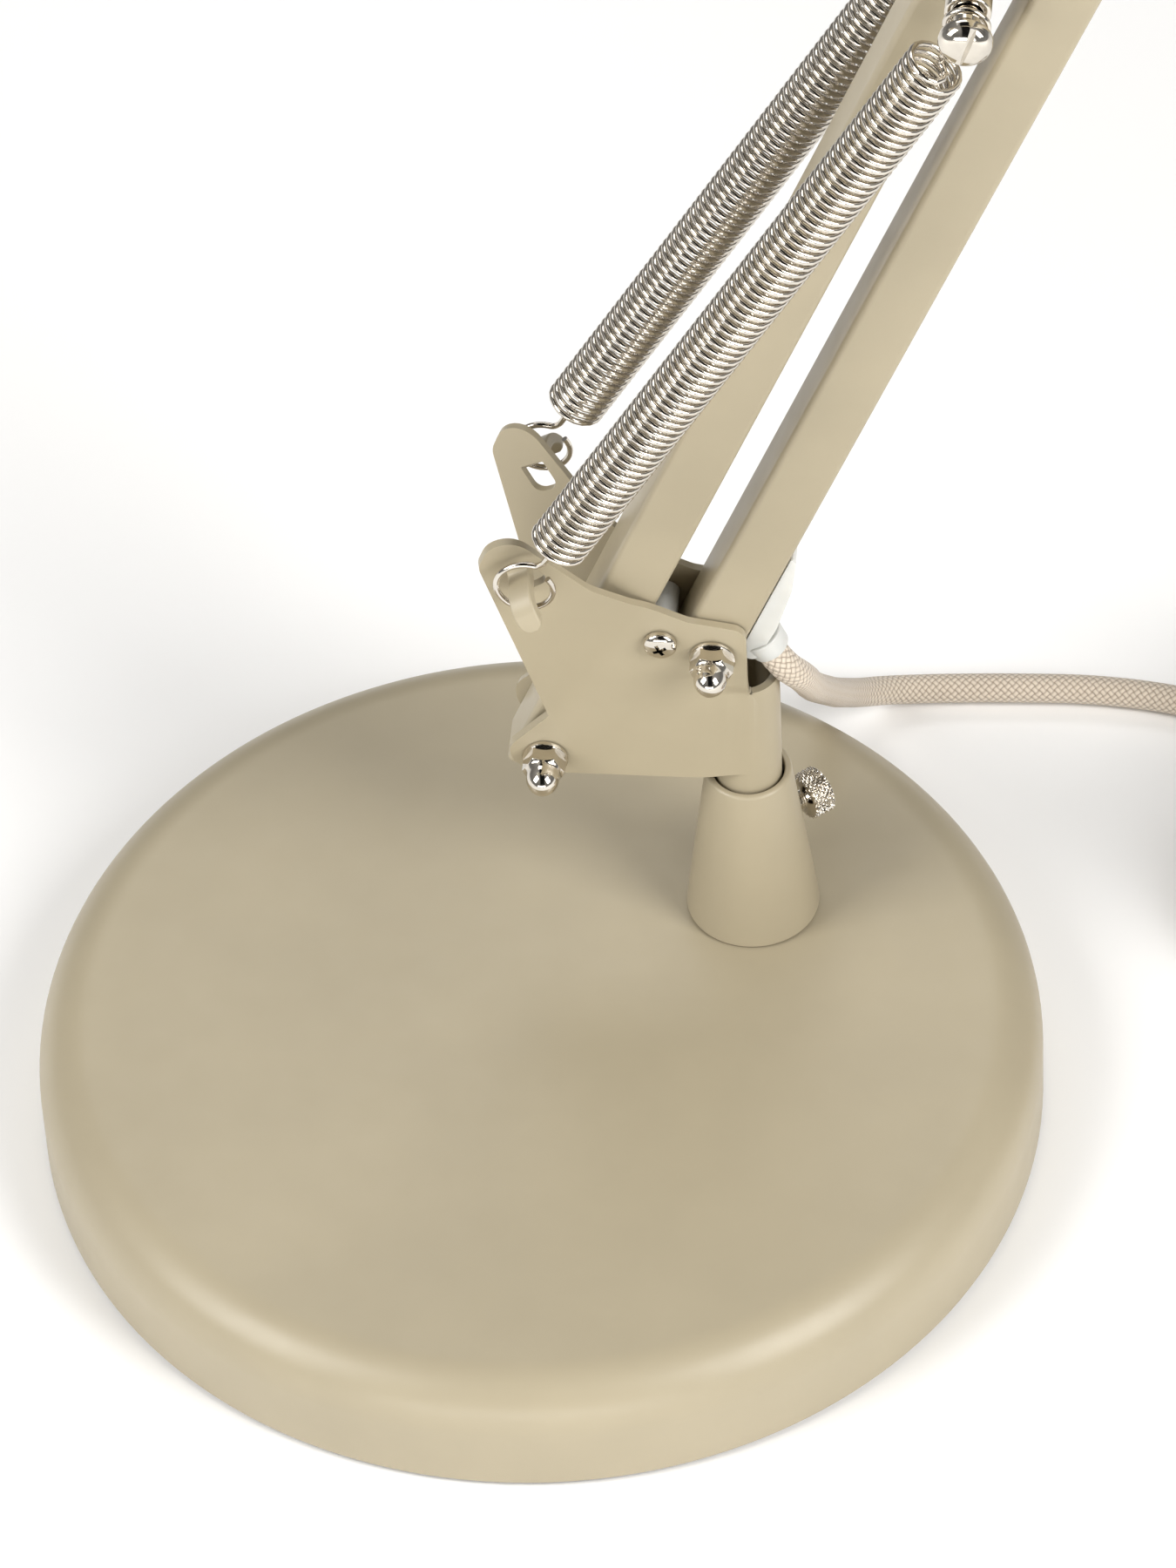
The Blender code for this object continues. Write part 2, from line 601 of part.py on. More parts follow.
def make_upper_stage():
    pivot_hole = BOLT_RADIUS + GAP
    beam("upper_arm_main", UPPER_MAIN, UPPER_TILT, UPPER_LENGTH,
         [(0, 0, pivot_hole), (UPPER_LENGTH, 0, pivot_hole)])
    beam("upper_arm_link", UPPER_LINK, UPPER_TILT, UPPER_LENGTH,
         [(0, 0, pivot_hole), (UPPER_LENGTH, 0, LINK_SLACK_HOLE),
          (UPPER_BAR_ALONG, 0, CROSSBAR_RADIUS + GAP)])
    crossbar("upper_crossbar", *UPPER_BAR, joined=True)
    springs("upper_spring", ELBOW_BAR, UPPER_BAR, 0.0090, 0.0090, (0.0036, WIRE_RADIUS),
            (0.0036, WIRE_RADIUS))


# ---- head

def shade_frame():
    """The shade's frame: origin on the tilt pivot, Z up its own axis."""
    return axes((TILT_PIVOT[0], POST_Y, TILT_PIVOT[1]), (math.cos(SHADE_TILT), 0, math.sin(SHADE_TILT)),
                (0, 1, 0))


def make_head():
    hole = BOLT_RADIUS + GAP
    corners = [
        (HEAD_MAIN[0] + 0.010, HEAD_MAIN[1] - 0.006, 0.008), (HEAD_LINK[0] + 0.010, HEAD_LINK[1] + 0.004, 0.009),
        (HEAD_LINK[0] - 0.004, HEAD_LINK[1] + 0.012, 0.009), (TILT_PIVOT[0] - 0.010, TILT_PIVOT[1] + 0.006, 0.010),
        (TILT_PIVOT[0] - 0.004, TILT_PIVOT[1] - 0.013, 0.009)]
    holes = [(*HEAD_MAIN, hole), (*HEAD_LINK, hole), (*TILT_PIVOT, 0.0028)]
    sheet_plate("head_plate_front", corners, holes, -1)
    sheet_plate("head_plate_rear", corners, holes, 1)
    pivot_pin("head_pin_main", *HEAD_MAIN)
    pivot_pin("head_pin_link", *HEAD_LINK)
    seat = CHEEK_OUT + GAP
    turned("tilt_knob", [
        (0, seat + 0.0120), (0.0070, seat + 0.0120), (0.0085, seat + 0.0105), (0.0085, seat + 0.0030),
        (0.0070, seat + 0.0010), (0.0070, seat), (0.0025, seat), (0.0025, -seat - 0.0006),
        (0.0044, -seat - 0.0006), (0.0044, -seat - 0.0030), (0, -seat - 0.0030)],
        across(*TILT_PIVOT), "black", 20)

    axis = shade_frame()
    stem = flat("shade_stem", [rounded([
        (-0.0080, 0.0080, 0.0078), (0.0080, 0.0080, 0.0078), (0.0080, -0.0215, 0), (-0.0080, -0.0215, 0)], 5)],
        0.0100, axis @ Matrix.Rotation(math.pi / 2, 4, "X"))
    stem = as_mesh(stem, "paint")
    combine(stem, rod("stem_hole", 0.0028, -0.010, 0.010, across(*TILT_PIVOT)), "DIFFERENCE")
    wall = 0.0010
    cup = turned("stem_cup", [
        (0.0030, CUP_TOP), (CUP_RADIUS - 0.004, CUP_TOP), (CUP_RADIUS, CUP_TOP - 0.004),
        (CUP_RADIUS, CUP_TOP - 0.052), (CUP_RADIUS - wall, CUP_TOP - 0.052),
        (CUP_RADIUS - wall, CUP_TOP - 0.005), (CUP_RADIUS - 0.0045, CUP_TOP - wall), (0.0030, CUP_TOP - wall)],
        axis, None, 28, closed=True)
    combine(stem, cup, "UNION")
    combine(stem, rod("switch_hole", 0.0045, 0.015, 0.030, axis @ Matrix.Translation((0, 0, CUP_TOP - 0.026))
                      @ Matrix.Rotation(-math.pi / 2, 4, "Y")), "DIFFERENCE")

    top = CUP_TOP - 0.053
    swell = [(0.0240, 0.0000), (0.0290, -0.0040), (0.0370, -0.0140), (0.0470, -0.0300), (0.0570, -0.0500),
             (0.0660, -0.0730), (0.0715, -0.0920), (SHADE_RADIUS, -SHADE_LENGTH)]
    outer = [(radius, top + height) for radius, height in swell]
    inner = [(radius - wall, top + height - wall * 0.4) for radius, height in swell]
    inner[-1] = (SHADE_RADIUS - wall, top - SHADE_LENGTH)
    turned("shade", [(0.0170, top), *outer, *reversed(inner[1:]), (0.0240 - wall, top - wall), (0.0170, top - wall)],
           axis, "paint", 36, closed=True)
    holder_top = CUP_TOP - 0.0016
    turned("lamp_holder", [
        (0, holder_top), (0.0165, holder_top), (0.0165, top - 0.012), (0.0140, top - 0.012),
        (0.0140, top + 0.014), (0, top + 0.014)], axis, "black", 20)
    neck = top + 0.0130
    skin = [(0.0130, 0.0), (0.0133, -0.024), (0.0160, -0.034), (0.0235, -0.048), (0.0290, -0.062),
            (0.0295, -0.072), (0.0255, -0.086), (0.0150, -0.096), (0, -0.099)]
    bowl = [(max(radius - 0.0010, 0), neck + height + 0.0008) for radius, height in reversed(skin)]
    bowl[-1] = (0.0120, neck)
    turned("bulb", [(radius, neck + height) for radius, height in skin] + bowl, axis, "glass", 18,
           closed=True)
    side = axis @ Matrix.Translation((0, 0, CUP_TOP - 0.026)) @ Matrix.Rotation(-math.pi / 2, 4, "Y")
    turned("switch_button", [
        (0, CUP_RADIUS + 0.0035), (0.0030, CUP_RADIUS + 0.0035), (0.0041, CUP_RADIUS + 0.0025),
        (0.0041, 0.0213), (0.0053, 0.0213), (0.0053, 0.0197), (0, 0.0197)], side, "black", 18)


# ---- cords

def smooth_route(points, spacing):
    """Points read evenly from the Catmull-Rom curve through a hand-set route."""
    knots = [Vector(point) for point in points]
    knots = [knots[0] * 2 - knots[1]] + knots + [knots[-1] * 2 - knots[-2]]
    fine = []
    for a, b, c, d in zip(knots, knots[1:], knots[2:], knots[3:]):
        for k in range(24):
            t = k / 24
            fine.append(0.5 * (2 * b + (c - a) * t + (2 * a - 5 * b + 4 * c - d) * t * t
                               + (3 * b - a - 3 * c + d) * t ** 3))
    fine.append(knots[-2])
    lengths = [0.0]
    for first, second in zip(fine, fine[1:]):
        lengths.append(lengths[-1] + (second - first).length)
    count = max(2, round(lengths[-1] / spacing))
    picked = []
    at = 0
    for k in range(count + 1):
        goal = lengths[-1] * k / count
        while at < len(lengths) - 2 and lengths[at + 1] < goal:
            at += 1
        share = (goal - lengths[at]) / (lengths[at + 1] - lengths[at])
        picked.append(fine[at].lerp(fine[at + 1], share))
    return picked


def make_cords():
    wire("power_cord", smooth_route(CORD_ROUTE, 0.008), CORD_RADIUS, "fabric", 2)
    turned("cord_coil", [
        (COIL_RADIUS - COIL_HALF_WIDTH, COIL_HEIGHT), (COIL_RADIUS + COIL_HALF_WIDTH, COIL_HEIGHT),
        (COIL_RADIUS + COIL_HALF_WIDTH, 0), (COIL_RADIUS - COIL_HALF_WIDTH, 0)],
        upright(*COIL_CENTRE, 0.0002), "fabric", 32, closed=True)
    make_plug()
    leave = spot_on(MAIN_PIVOT, ARM_TILT, LOWER_LENGTH + CORD_STANDOFF)
    turn = spot_on(MAIN_PIVOT, ARM_TILT, LOWER_LENGTH + 0.0200)
    enter = spot_on(UPPER_MAIN, UPPER_TILT, -CORD_STANDOFF)
    bend = [(x, POST_Y, z) for x, z in (leave, mix(leave, turn, enter, 0.25), mix(leave, turn, enter, 0.5),
                                        mix(leave, turn, enter, 0.75), enter)]
    wire("elbow_cord", smooth_route(bend, 0.004), CORD_RADIUS, "fabric", 2)
    axis = shade_frame()
    drop = [(-0.1515, POST_Y, 0.6036), (-0.1527, POST_Y, 0.5985), (-0.1530, POST_Y, 0.5920),
            axis @ Vector((0.0135, 0, -0.0110)), axis @ Vector((0.0140, 0, CUP_TOP + 0.0004))]
    wire("head_cord", smooth_route(drop, 0.004), CORD_RADIUS, "fabric", 2)


def mix(start, corner, end, share):
    """A point of the curve that leaves start towards corner and arrives at end from it."""
    return tuple(a * (1 - share) ** 2 + 2 * b * share * (1 - share) + c * share ** 2
                 for a, b, c in zip(start, corner, end))


def make_plug():
    """A flat two-pin plug lying on the coil, its pins pointing away from the cord."""
    along = Vector((math.cos(PLUG_TURN), math.sin(PLUG_TURN), 0))
    beside = Vector((-along.y, along.x, 0))
    middle = Vector(PLUG_AT)
    outline = rounded([
        (-0.0180, -0.0045, 0.002), (-0.0080, -0.0120, 0.006), (0.0150, -0.0125, 0.003),
        (0.0150, 0.0125, 0.003), (-0.0080, 0.0120, 0.006), (-0.0180, 0.0045, 0.002)])
    body = as_mesh(flat("plug", [outline], 0.0125, axes(middle, along, beside)), "nylon")
    for label, offset in (("left", 0.0095), ("right", -0.0095)):
        pin = axes(middle + beside * offset, beside, (0, 0, 1))
        combine(body, rod("pin_" + label, 0.0020, 0.0130, 0.0340, pin), "UNION")


# ---- joints

def carry(piece, carrier, carrier_frame):
    """Parents a piece to an empty and leaves it where it is."""
    piece.parent = carrier
    piece.matrix_parent_inverse = carrier_frame.inverted()


def make_joints():
    """An empty on each joint's axis, which carries the pieces and the joints that move with it."""
    frames = {}
    for name, frame, carrier, pieces in JOINTS:
        pivot = bpy.data.objects.new(name, None)
        pivot.empty_display_size = 0.01
        lamp.objects.link(pivot)
        pivot.matrix_world = frame
        frames[name] = frame
        if carrier:
            carry(pivot, bpy.data.objects[carrier], frames[carrier])
        for piece in pieces:
            carry(bpy.data.objects[piece], pivot, frame)


def both(name):
    return [name + "_front", name + "_rear"]


# Places worked out from the driving dimensions, as (x, z) in the arms' plane
STOP_PIVOT = (0.0239, 0.1031)
ELBOW_MAIN = spot_on(MAIN_PIVOT, ARM_TILT, LOWER_LENGTH)
ELBOW_LINK = spot_on(LINK_PIVOT, ARM_TILT, LOWER_LENGTH)
LOWER_BAR = spot_on(LINK_PIVOT, ARM_TILT, CROSSBAR_ALONG, CROSSBAR_OFFSET)
UPPER_MAIN = (ELBOW_MAIN[0] - 0.017, ELBOW_MAIN[1] + 0.030)
UPPER_LINK = spot_on(UPPER_MAIN, UPPER_TILT, 0, UPPER_SPACING)
UPPER_BAR_ALONG = 0.165
UPPER_BAR = spot_on(UPPER_LINK, UPPER_TILT, UPPER_BAR_ALONG)
ELBOW_BAR = spot_on(UPPER_LINK, UPPER_TILT, 0.005, 0.028)
HEAD_MAIN = spot_on(UPPER_MAIN, UPPER_TILT, UPPER_LENGTH)
HEAD_LINK = spot_on(UPPER_LINK, UPPER_TILT, UPPER_LENGTH)
TILT_PIVOT = (HEAD_MAIN[0] - 0.024, HEAD_MAIN[1] - 0.006)
LINK_SLACK_HOLE = 0.0030

# The cord's route from the grommet to the coil, and where the plug lies
CORD_ROUTE = [
    (0.0426, 0.0296, 0.0983), (0.0466, 0.0309, 0.0928), (0.0486, 0.0334, 0.0862), (0.0478, 0.0462, 0.0705),
    (0.0468, 0.0636, 0.0500), (0.0472, 0.0806, 0.0300), (0.0492, 0.0930, 0.0152), (0.0527, 0.0996, 0.0075),
    (0.0597, 0.1035, 0.0038), (0.0700, 0.1047, 0.0030), (0.0850, 0.1058, 0.0030), (0.1000, 0.1060, 0.0030),
    (0.1150, 0.1043, 0.0030), (0.1300, 0.1003, 0.0030), (0.1450, 0.0952, 0.0030), (0.1585, 0.0915, 0.0030)]
PLUG_AT, PLUG_TURN = (0.1640, 0.0785, 0.0244), math.radians(25)

# Each joint's name, the frame on its axis, the joint that carries it, and its pieces
JOINTS = [
    ("clamp_turn", upright(POST_X, POST_Y, CLAMP_HEIGHT), None, ["clamp_screw"]),
    ("swivel", upright(POST_X, POST_Y), None, [
        "pivot_bracket", "stop_screw", "stop_sleeve", "stop_nut", "link_bolt", "link_nut", "main_bolt",
        "main_nut"]),
    ("lower_arm_lean", across(*MAIN_PIVOT), "swivel", ["lower_arm_main", "cord_grommet"]),
    ("lower_link_lean", across(*LINK_PIVOT), "swivel", [
        "lower_arm_link", "lower_crossbar", *both("lower_crossbar_screw")]),
    ("lower_springs_swing", across(*EYE), "swivel", [*both("lower_spring_hook"), *both("lower_spring_coil")]),
    ("lower_springs_stretch", across(*LOWER_BAR), "lower_springs_swing", both("lower_spring_loop")),
    ("elbow_level", across(*ELBOW_MAIN), "lower_arm_lean", [
        *both("elbow_plate"), "elbow_pin_main", "elbow_pin_link", "upper_pin_main", "upper_pin_link",
        "elbow_crossbar", "elbow_cord"]),
    ("upper_arm_lift", across(*UPPER_MAIN), "elbow_level", ["upper_arm_main"]),
    ("upper_link_lift", across(*UPPER_LINK), "elbow_level", ["upper_arm_link", "upper_crossbar"]),
    ("upper_springs_swing", across(*ELBOW_BAR), "elbow_level", [
        *both("upper_spring_hook"), *both("upper_spring_coil")]),
    ("upper_springs_stretch", across(*UPPER_BAR), "upper_springs_swing", both("upper_spring_loop")),
    ("head_level", across(*HEAD_MAIN), "upper_arm_lift", [
        *both("head_plate"), "head_pin_main", "head_pin_link", "head_cord"]),
    ("tilt_knob_turn", across(*TILT_PIVOT), "head_level", ["tilt_knob"]),
    ("shade_tilt", shade_frame(), "head_level", ["shade_stem", "shade", "lamp_holder", "bulb"]),
    ("switch_press", shade_frame(), "shade_tilt", ["switch_button"])]

clear_scene()
lamp = new_collection("architect_desk_lamp")
helpers = new_collection("cutters_and_guides")
make_foot()
make_post()
make_bracket()
acorn_nut("main_nut", *MAIN_PIVOT)
acorn_nut("link_nut", *LINK_PIVOT)
bolt("main_bolt", *MAIN_PIVOT)
bolt("link_bolt", *LINK_PIVOT)
make_stop()
make_lower_stage()
make_elbow()
make_upper_stage()
make_head()
make_cords()
make_joints()
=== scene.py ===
import json
import math

import bmesh
import bpy
from mathutils import Matrix, Vector
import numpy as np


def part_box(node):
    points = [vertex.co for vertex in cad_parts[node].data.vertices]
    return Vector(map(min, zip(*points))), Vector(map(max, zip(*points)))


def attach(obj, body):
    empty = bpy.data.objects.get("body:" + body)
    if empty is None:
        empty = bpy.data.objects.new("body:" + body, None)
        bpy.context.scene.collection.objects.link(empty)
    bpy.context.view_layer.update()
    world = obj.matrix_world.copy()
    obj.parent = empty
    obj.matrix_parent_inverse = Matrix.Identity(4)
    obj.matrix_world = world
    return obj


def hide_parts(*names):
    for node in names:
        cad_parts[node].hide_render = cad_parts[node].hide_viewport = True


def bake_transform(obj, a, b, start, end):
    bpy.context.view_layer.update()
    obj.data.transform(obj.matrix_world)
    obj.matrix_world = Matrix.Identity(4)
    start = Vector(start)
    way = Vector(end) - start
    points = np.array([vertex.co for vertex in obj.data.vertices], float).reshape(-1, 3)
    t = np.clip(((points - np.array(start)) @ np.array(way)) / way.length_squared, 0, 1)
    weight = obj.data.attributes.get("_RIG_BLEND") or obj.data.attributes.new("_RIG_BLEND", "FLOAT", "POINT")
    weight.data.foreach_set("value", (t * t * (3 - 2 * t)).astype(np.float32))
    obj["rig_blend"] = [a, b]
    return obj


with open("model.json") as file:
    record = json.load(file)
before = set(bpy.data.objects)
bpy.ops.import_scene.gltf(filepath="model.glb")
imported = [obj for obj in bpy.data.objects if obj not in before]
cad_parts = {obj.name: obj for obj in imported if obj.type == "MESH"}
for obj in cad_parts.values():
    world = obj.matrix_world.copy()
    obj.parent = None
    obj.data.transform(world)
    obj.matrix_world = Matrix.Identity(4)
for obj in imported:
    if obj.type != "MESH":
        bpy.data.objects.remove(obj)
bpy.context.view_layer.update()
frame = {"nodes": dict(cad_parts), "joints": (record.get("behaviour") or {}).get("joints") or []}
nodes = frame["nodes"]
joints = {joint["name"]: joint for joint in frame["joints"]}


def pivot(name):
    return Vector(joints[name]["pos_m"])


armY = pivot("lower_arm_lean").y
lampPlan = {
    "sheet": 0.0015, "cheekOut": 0.0075, "gap": 0.0003,   # bracket and plate sheet, in metres
    "lowerTilt": 68.25, "lowerLength": 0.360, "mainOffset": 0.0008,
    "upperTilt": 155.0, "upperLength": 0.320,
    "shadeTilt": -12.0, "stopPivot": (0.0239, armY, 0.1031),
}
seat = lampPlan["cheekOut"] + lampPlan["gap"]


# frames and outlines

def frameAt(origin, xAxis, yAxis):
    xAxis = Vector(xAxis).normalized()
    yAxis = Vector(yAxis).normalized()
    turn = Matrix((xAxis, yAxis, xAxis.cross(yAxis))).transposed()
    return Matrix.Translation(origin) @ turn.to_4x4()


def acrossArms(spot, y=0.0):   # its own Z points out of the lamp's front
    return frameAt((spot[0], armY + y, spot[2]), (1, 0, 0), (0, 0, 1))


def upright(x=0.0, y=0.0, z=0.0):
    return Matrix.Translation((x, y, z))


def armDirection(tilt):
    return Vector((math.cos(math.radians(tilt)), 0, math.sin(math.radians(tilt))))


def besideArm(start, tilt, along, sideways=0.0):   # sideways is to the arm's right as it points up
    way = armDirection(tilt)
    return start + way * along + Vector((way.z, 0, -way.x)) * sideways


def eased(share):
    share = min(max(share, 0.0), 1.0)
    return share * share * (3 - 2 * share)


def soften(corners, steps=6, closed=True):   # corners are (a, b, radius), each rounded by an arc
    points = []
    for i, (a, b, radius) in enumerate(corners):
        here = Vector((a, b))
        if radius == 0 or (not closed and i in (0, len(corners) - 1)):
            points.append(here)
            continue
        toLast = (Vector(corners[i - 1][:2]) - here).normalized()
        toNext = (Vector(corners[(i + 1) % len(corners)][:2]) - here).normalized()
        half = toLast.angle(toNext) / 2
        centre = here + (toLast + toNext).normalized() * radius / math.sin(half)
        first = here + toLast * radius / math.tan(half) - centre
        last = here + toNext * radius / math.tan(half) - centre
        turn = first.angle_signed(last)
        for k in range(steps + 1):
            spot = first.copy()
            spot.rotate(Matrix.Rotation(-turn * k / steps, 2))
            points.append(centre + spot)
    return points


def circlePoints(x, y, radius, count=32):
    return [Vector((x + radius * math.cos(2 * math.pi * k / count),
                    y + radius * math.sin(2 * math.pi * k / count)))
            for k in range(count)]


def smoothRoute(points, spacing):   # read evenly from the Catmull-Rom curve through the points
    knots = [Vector(p) for p in points]
    knots = [knots[0] * 2 - knots[1]] + knots + [knots[-1] * 2 - knots[-2]]
    fine = []
    for a, b, c, d in zip(knots, knots[1:], knots[2:], knots[3:]):
        for k in range(24):
            t = k / 24
            fine.append(0.5 * (2 * b + (c - a) * t + (2 * a - 5 * b + 4 * c - d) * t * t
                               + (3 * b - a - 3 * c + d) * t ** 3))
    fine.append(knots[-2])
    return evenly(fine, spacing)


def evenly(fine, spacing):
    lengths = [0.0]
    for first, second in zip(fine, fine[1:]):
        lengths.append(lengths[-1] + (second - first).length)
    count = max(2, round(lengths[-1] / spacing))
    picked = []
    at = 0
    for k in range(count + 1):
        goal = lengths[-1] * k / count
        while at < len(lengths) - 2 and lengths[at + 1] < goal:
            at += 1
        share = (goal - lengths[at]) / (lengths[at + 1] - lengths[at])
        picked.append(fine[at].lerp(fine[at + 1], share))
    return picked


# shapes

def lathe(form, profile, place, steps=72, closed=False):   # profile is (radius, height) about the place's Z
    verts = [form.verts.new(place @ Vector((p[0], 0, p[1]))) for p in profile]
    edges = [form.edges.new(pair) for pair in zip(verts, verts[1:])]
    if closed:
        edges.append(form.edges.new((verts[-1], verts[0])))
    axis = place.to_3x3() @ Vector((0, 0, 1))
    bmesh.ops.spin(form, geom=verts + edges, cent=place.translation, axis=axis, dvec=(0, 0, 0),
                   angle=2 * math.pi, steps=steps, use_merge=True)


def plate(form, loops, thickness, place):   # the later loops are holes
    before = set(form.verts)
    edges = []
    for loop in loops:
        verts = [form.verts.new((p[0], p[1], -thickness / 2)) for p in loop]
        edges += [form.edges.new(pair) for pair in zip(verts, verts[1:] + verts[:1])]
    filled = bmesh.ops.triangle_fill(form, use_beauty=True, use_dissolve=False, edges=edges)
    faces = [part for part in filled["geom"] if isinstance(part, bmesh.types.BMFace)]
    grown = bmesh.ops.extrude_face_region(form, geom=faces)
    raised = [part for part in grown["geom"] if isinstance(part, bmesh.types.BMVert)]
    bmesh.ops.translate(form, verts=raised, vec=(0, 0, thickness))
    bmesh.ops.transform(form, verts=[v for v in form.verts if v not in before], matrix=place)


def sweep(form, path, radius, sides):   # a wire or cord of one thickness along a path
    around = form.verts.layers.float.get("around") or form.verts.layers.float.new("around")
    along = form.verts.layers.float.get("along") or form.verts.layers.float.new("along")
    heads = [(path[min(i + 1, len(path) - 1)] - path[max(i - 1, 0)]).normalized() for i in range(len(path))]
    start = Matrix.Translation(path[0]) @ heads[0].to_track_quat("Z", "Y").to_matrix().to_4x4()
    ring = bmesh.ops.create_circle(form, cap_ends=True, segments=sides, radius=radius, matrix=start)["verts"]
    for vert in ring:
        local = start.inverted() @ vert.co
        vert[around] = (math.atan2(local.y, local.x) / (2 * math.pi)) % 1.0
    edges = list({edge for vert in ring for edge in vert.link_edges})
    run = 0.0
    for i in range(1, len(path)):
        run += (path[i] - path[i - 1]).length
        turn = heads[i - 1].rotation_difference(heads[i]).to_matrix()
        grown = bmesh.ops.extrude_edge_only(form, edges=edges)["geom"]
        fresh = {part for part in grown if isinstance(part, bmesh.types.BMVert)}
        for vert in fresh:
            vert.co = path[i] + turn @ (vert.co - path[i - 1])
            vert[along] = run
        edges = [part for part in grown
                 if isinstance(part, bmesh.types.BMEdge) and fresh.issuperset(part.verts)]
    bmesh.ops.holes_fill(form, edges=edges, sides=0)


def wrapCordMap(form, girth):   # u goes once around the cord, v runs along it at the same scale
    around = form.verts.layers.float["around"]
    along = form.verts.layers.float["along"]
    cordMap = form.loops.layers.uv.new("cordMap")
    for face in form.faces:
        turns = [loop.vert[around] for loop in face.loops]
        crosses = max(turns) - min(turns) > 0.5 and len(turns) == 4
        for loop, turn in zip(face.loops, turns):
            u = turn + 1 if crosses and turn < 0.5 else turn
            loop[cordMap].uv = (u, loop.vert[along] / girth)


def clipToHex(form, place, low, high, apothem):   # cuts round rows back to a hexagon's sides
    back = place.inverted()
    for vert in form.verts:
        local = back @ vert.co
        radius = math.hypot(local.x, local.y)
        if low <= local.z <= high and radius > apothem * 0.99:
            angle = math.atan2(local.y, local.x) % (math.pi / 3) - math.pi / 6
            share = min(radius, apothem / math.cos(angle)) / radius
            vert.co = place @ Vector((local.x * share, local.y * share, local.z))


def meshObject(form, name, sharp=35):
    bmesh.ops.remove_doubles(form, verts=form.verts, dist=2e-6)
    bmesh.ops.recalc_face_normals(form, faces=form.faces)
    mesh = bpy.data.meshes.new(name)
    form.to_mesh(mesh)
    form.free()
    mesh.shade_smooth()
    mesh.set_sharp_from_angle(angle=math.radians(sharp))
    piece = bpy.data.objects.new(name, mesh)
    bpy.context.scene.collection.objects.link(piece)
    return piece


def bevelEdges(piece, width, segments=3, angle=50):
    step = piece.modifiers.new("edges", "BEVEL")
    step.width = width
    step.segments = segments
    step.limit_method = "ANGLE"
    step.angle_limit = math.radians(angle)
    step.harden_normals = True
    step.miter_outer = "MITER_ARC"
    step.use_clamp_overlap = True


def carve(piece, cutter, sharp=35):   # cuts one shape out of a piece for good
    step = piece.modifiers.new("cut", "BOOLEAN")
    step.operation = "DIFFERENCE"
    step.object = cutter
    bpy.context.view_layer.update()
    graph = bpy.context.evaluated_depsgraph_get()
    whole = piece.data
    cut = bpy.data.meshes.new_from_object(piece.evaluated_get(graph))
    piece.modifiers.remove(step)
    piece.data = cut
    cut.name = whole.name + "_cut"
    cut.shade_smooth()
    cut.set_sharp_from_angle(angle=math.radians(sharp))
    bpy.data.objects.remove(cutter)
    bpy.data.meshes.remove(whole)


def settle(piece, body, slot, finishes, *stands):   # finish, body, and the nodes the piece stands for
    piece.data.materials.clear()
    for finish in finishes if isinstance(finishes, (list, tuple)) else [finishes]:
        piece.data.materials.append(finish)
    if body:
        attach(piece, body)
    if stands:
        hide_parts(*stands)
    return piece


# finishes

def newFinish(name, colour, rough, metal=0.0, **more):
    mat = bpy.data.materials.new(name)
    mat.use_nodes = True
    shader = mat.node_tree.nodes["Principled BSDF"]
    shader.inputs["Base Color"].default_value = (*colour, 1)
    shader.inputs["Roughness"].default_value = rough
    shader.inputs["Metallic"].default_value = metal
    for label, value in more.items():
        shader.inputs[label.replace("_", " ")].default_value = value
    return mat, mat.node_tree, shader


def grain(tree, scale, detail=3.0, stretch=(1, 1, 1)):
    coords = tree.nodes.new("ShaderNodeTexCoord")
    mapping = tree.nodes.new("ShaderNodeMapping")
    mapping.inputs["Scale"].default_value = stretch
    noise = tree.nodes.new("ShaderNodeTexNoise")
    noise.inputs["Scale"].default_value = scale
    noise.inputs["Detail"].default_value = detail
    tree.links.new(coords.outputs["Object"], mapping.inputs["Vector"])
    tree.links.new(mapping.outputs["Vector"], noise.inputs["Vector"])
    return noise.outputs["Fac"]


def shift(tree, value, low, high, fromLow=0.3, fromHigh=0.7):
    node = tree.nodes.new("ShaderNodeMapRange")
    node.inputs["From Min"].default_value = fromLow
    node.inputs["From Max"].default_value = fromHigh
    node.inputs["To Min"].default_value = low
    node.inputs["To Max"].default_value = high
    tree.links.new(value, node.inputs["Value"])
    return node.outputs["Result"]


def blendColour(tree, value, stops):   # stops are (position, colour)
    ramp = tree.nodes.new("ShaderNodeValToRGB")
    ends = ramp.color_ramp.elements
    for i, (position, colour) in enumerate(stops):
        stop = ends[i] if i < 2 else ends.new(position)
        stop.position = position
        stop.color = (*colour, 1)
    tree.links.new(value, ramp.inputs["Fac"])
    return ramp.outputs["Color"]


def roughen(tree, shader, heights, distance, strength=1.0):
    node = tree.nodes.new("ShaderNodeBump")
    node.inputs["Strength"].default_value = strength
    node.inputs["Distance"].default_value = distance
    tree.links.new(heights, node.inputs["Height"])
    tree.links.new(node.outputs["Normal"], shader.inputs["Normal"])


def calc(tree, kind, first, second=None, third=None):
    node = tree.nodes.new("ShaderNodeMath")
    node.operation = kind
    for socket, value in zip(node.inputs, (first, second, third)):
        if isinstance(value, (int, float)):
            socket.default_value = value
        elif value is not None:
            tree.links.new(value, socket)
    return node.outputs[0]


paintSet = {"colour": (0.392, 0.339, 0.236), "rough": 0.38, "spread": 0.045, "peel": 0.000010}


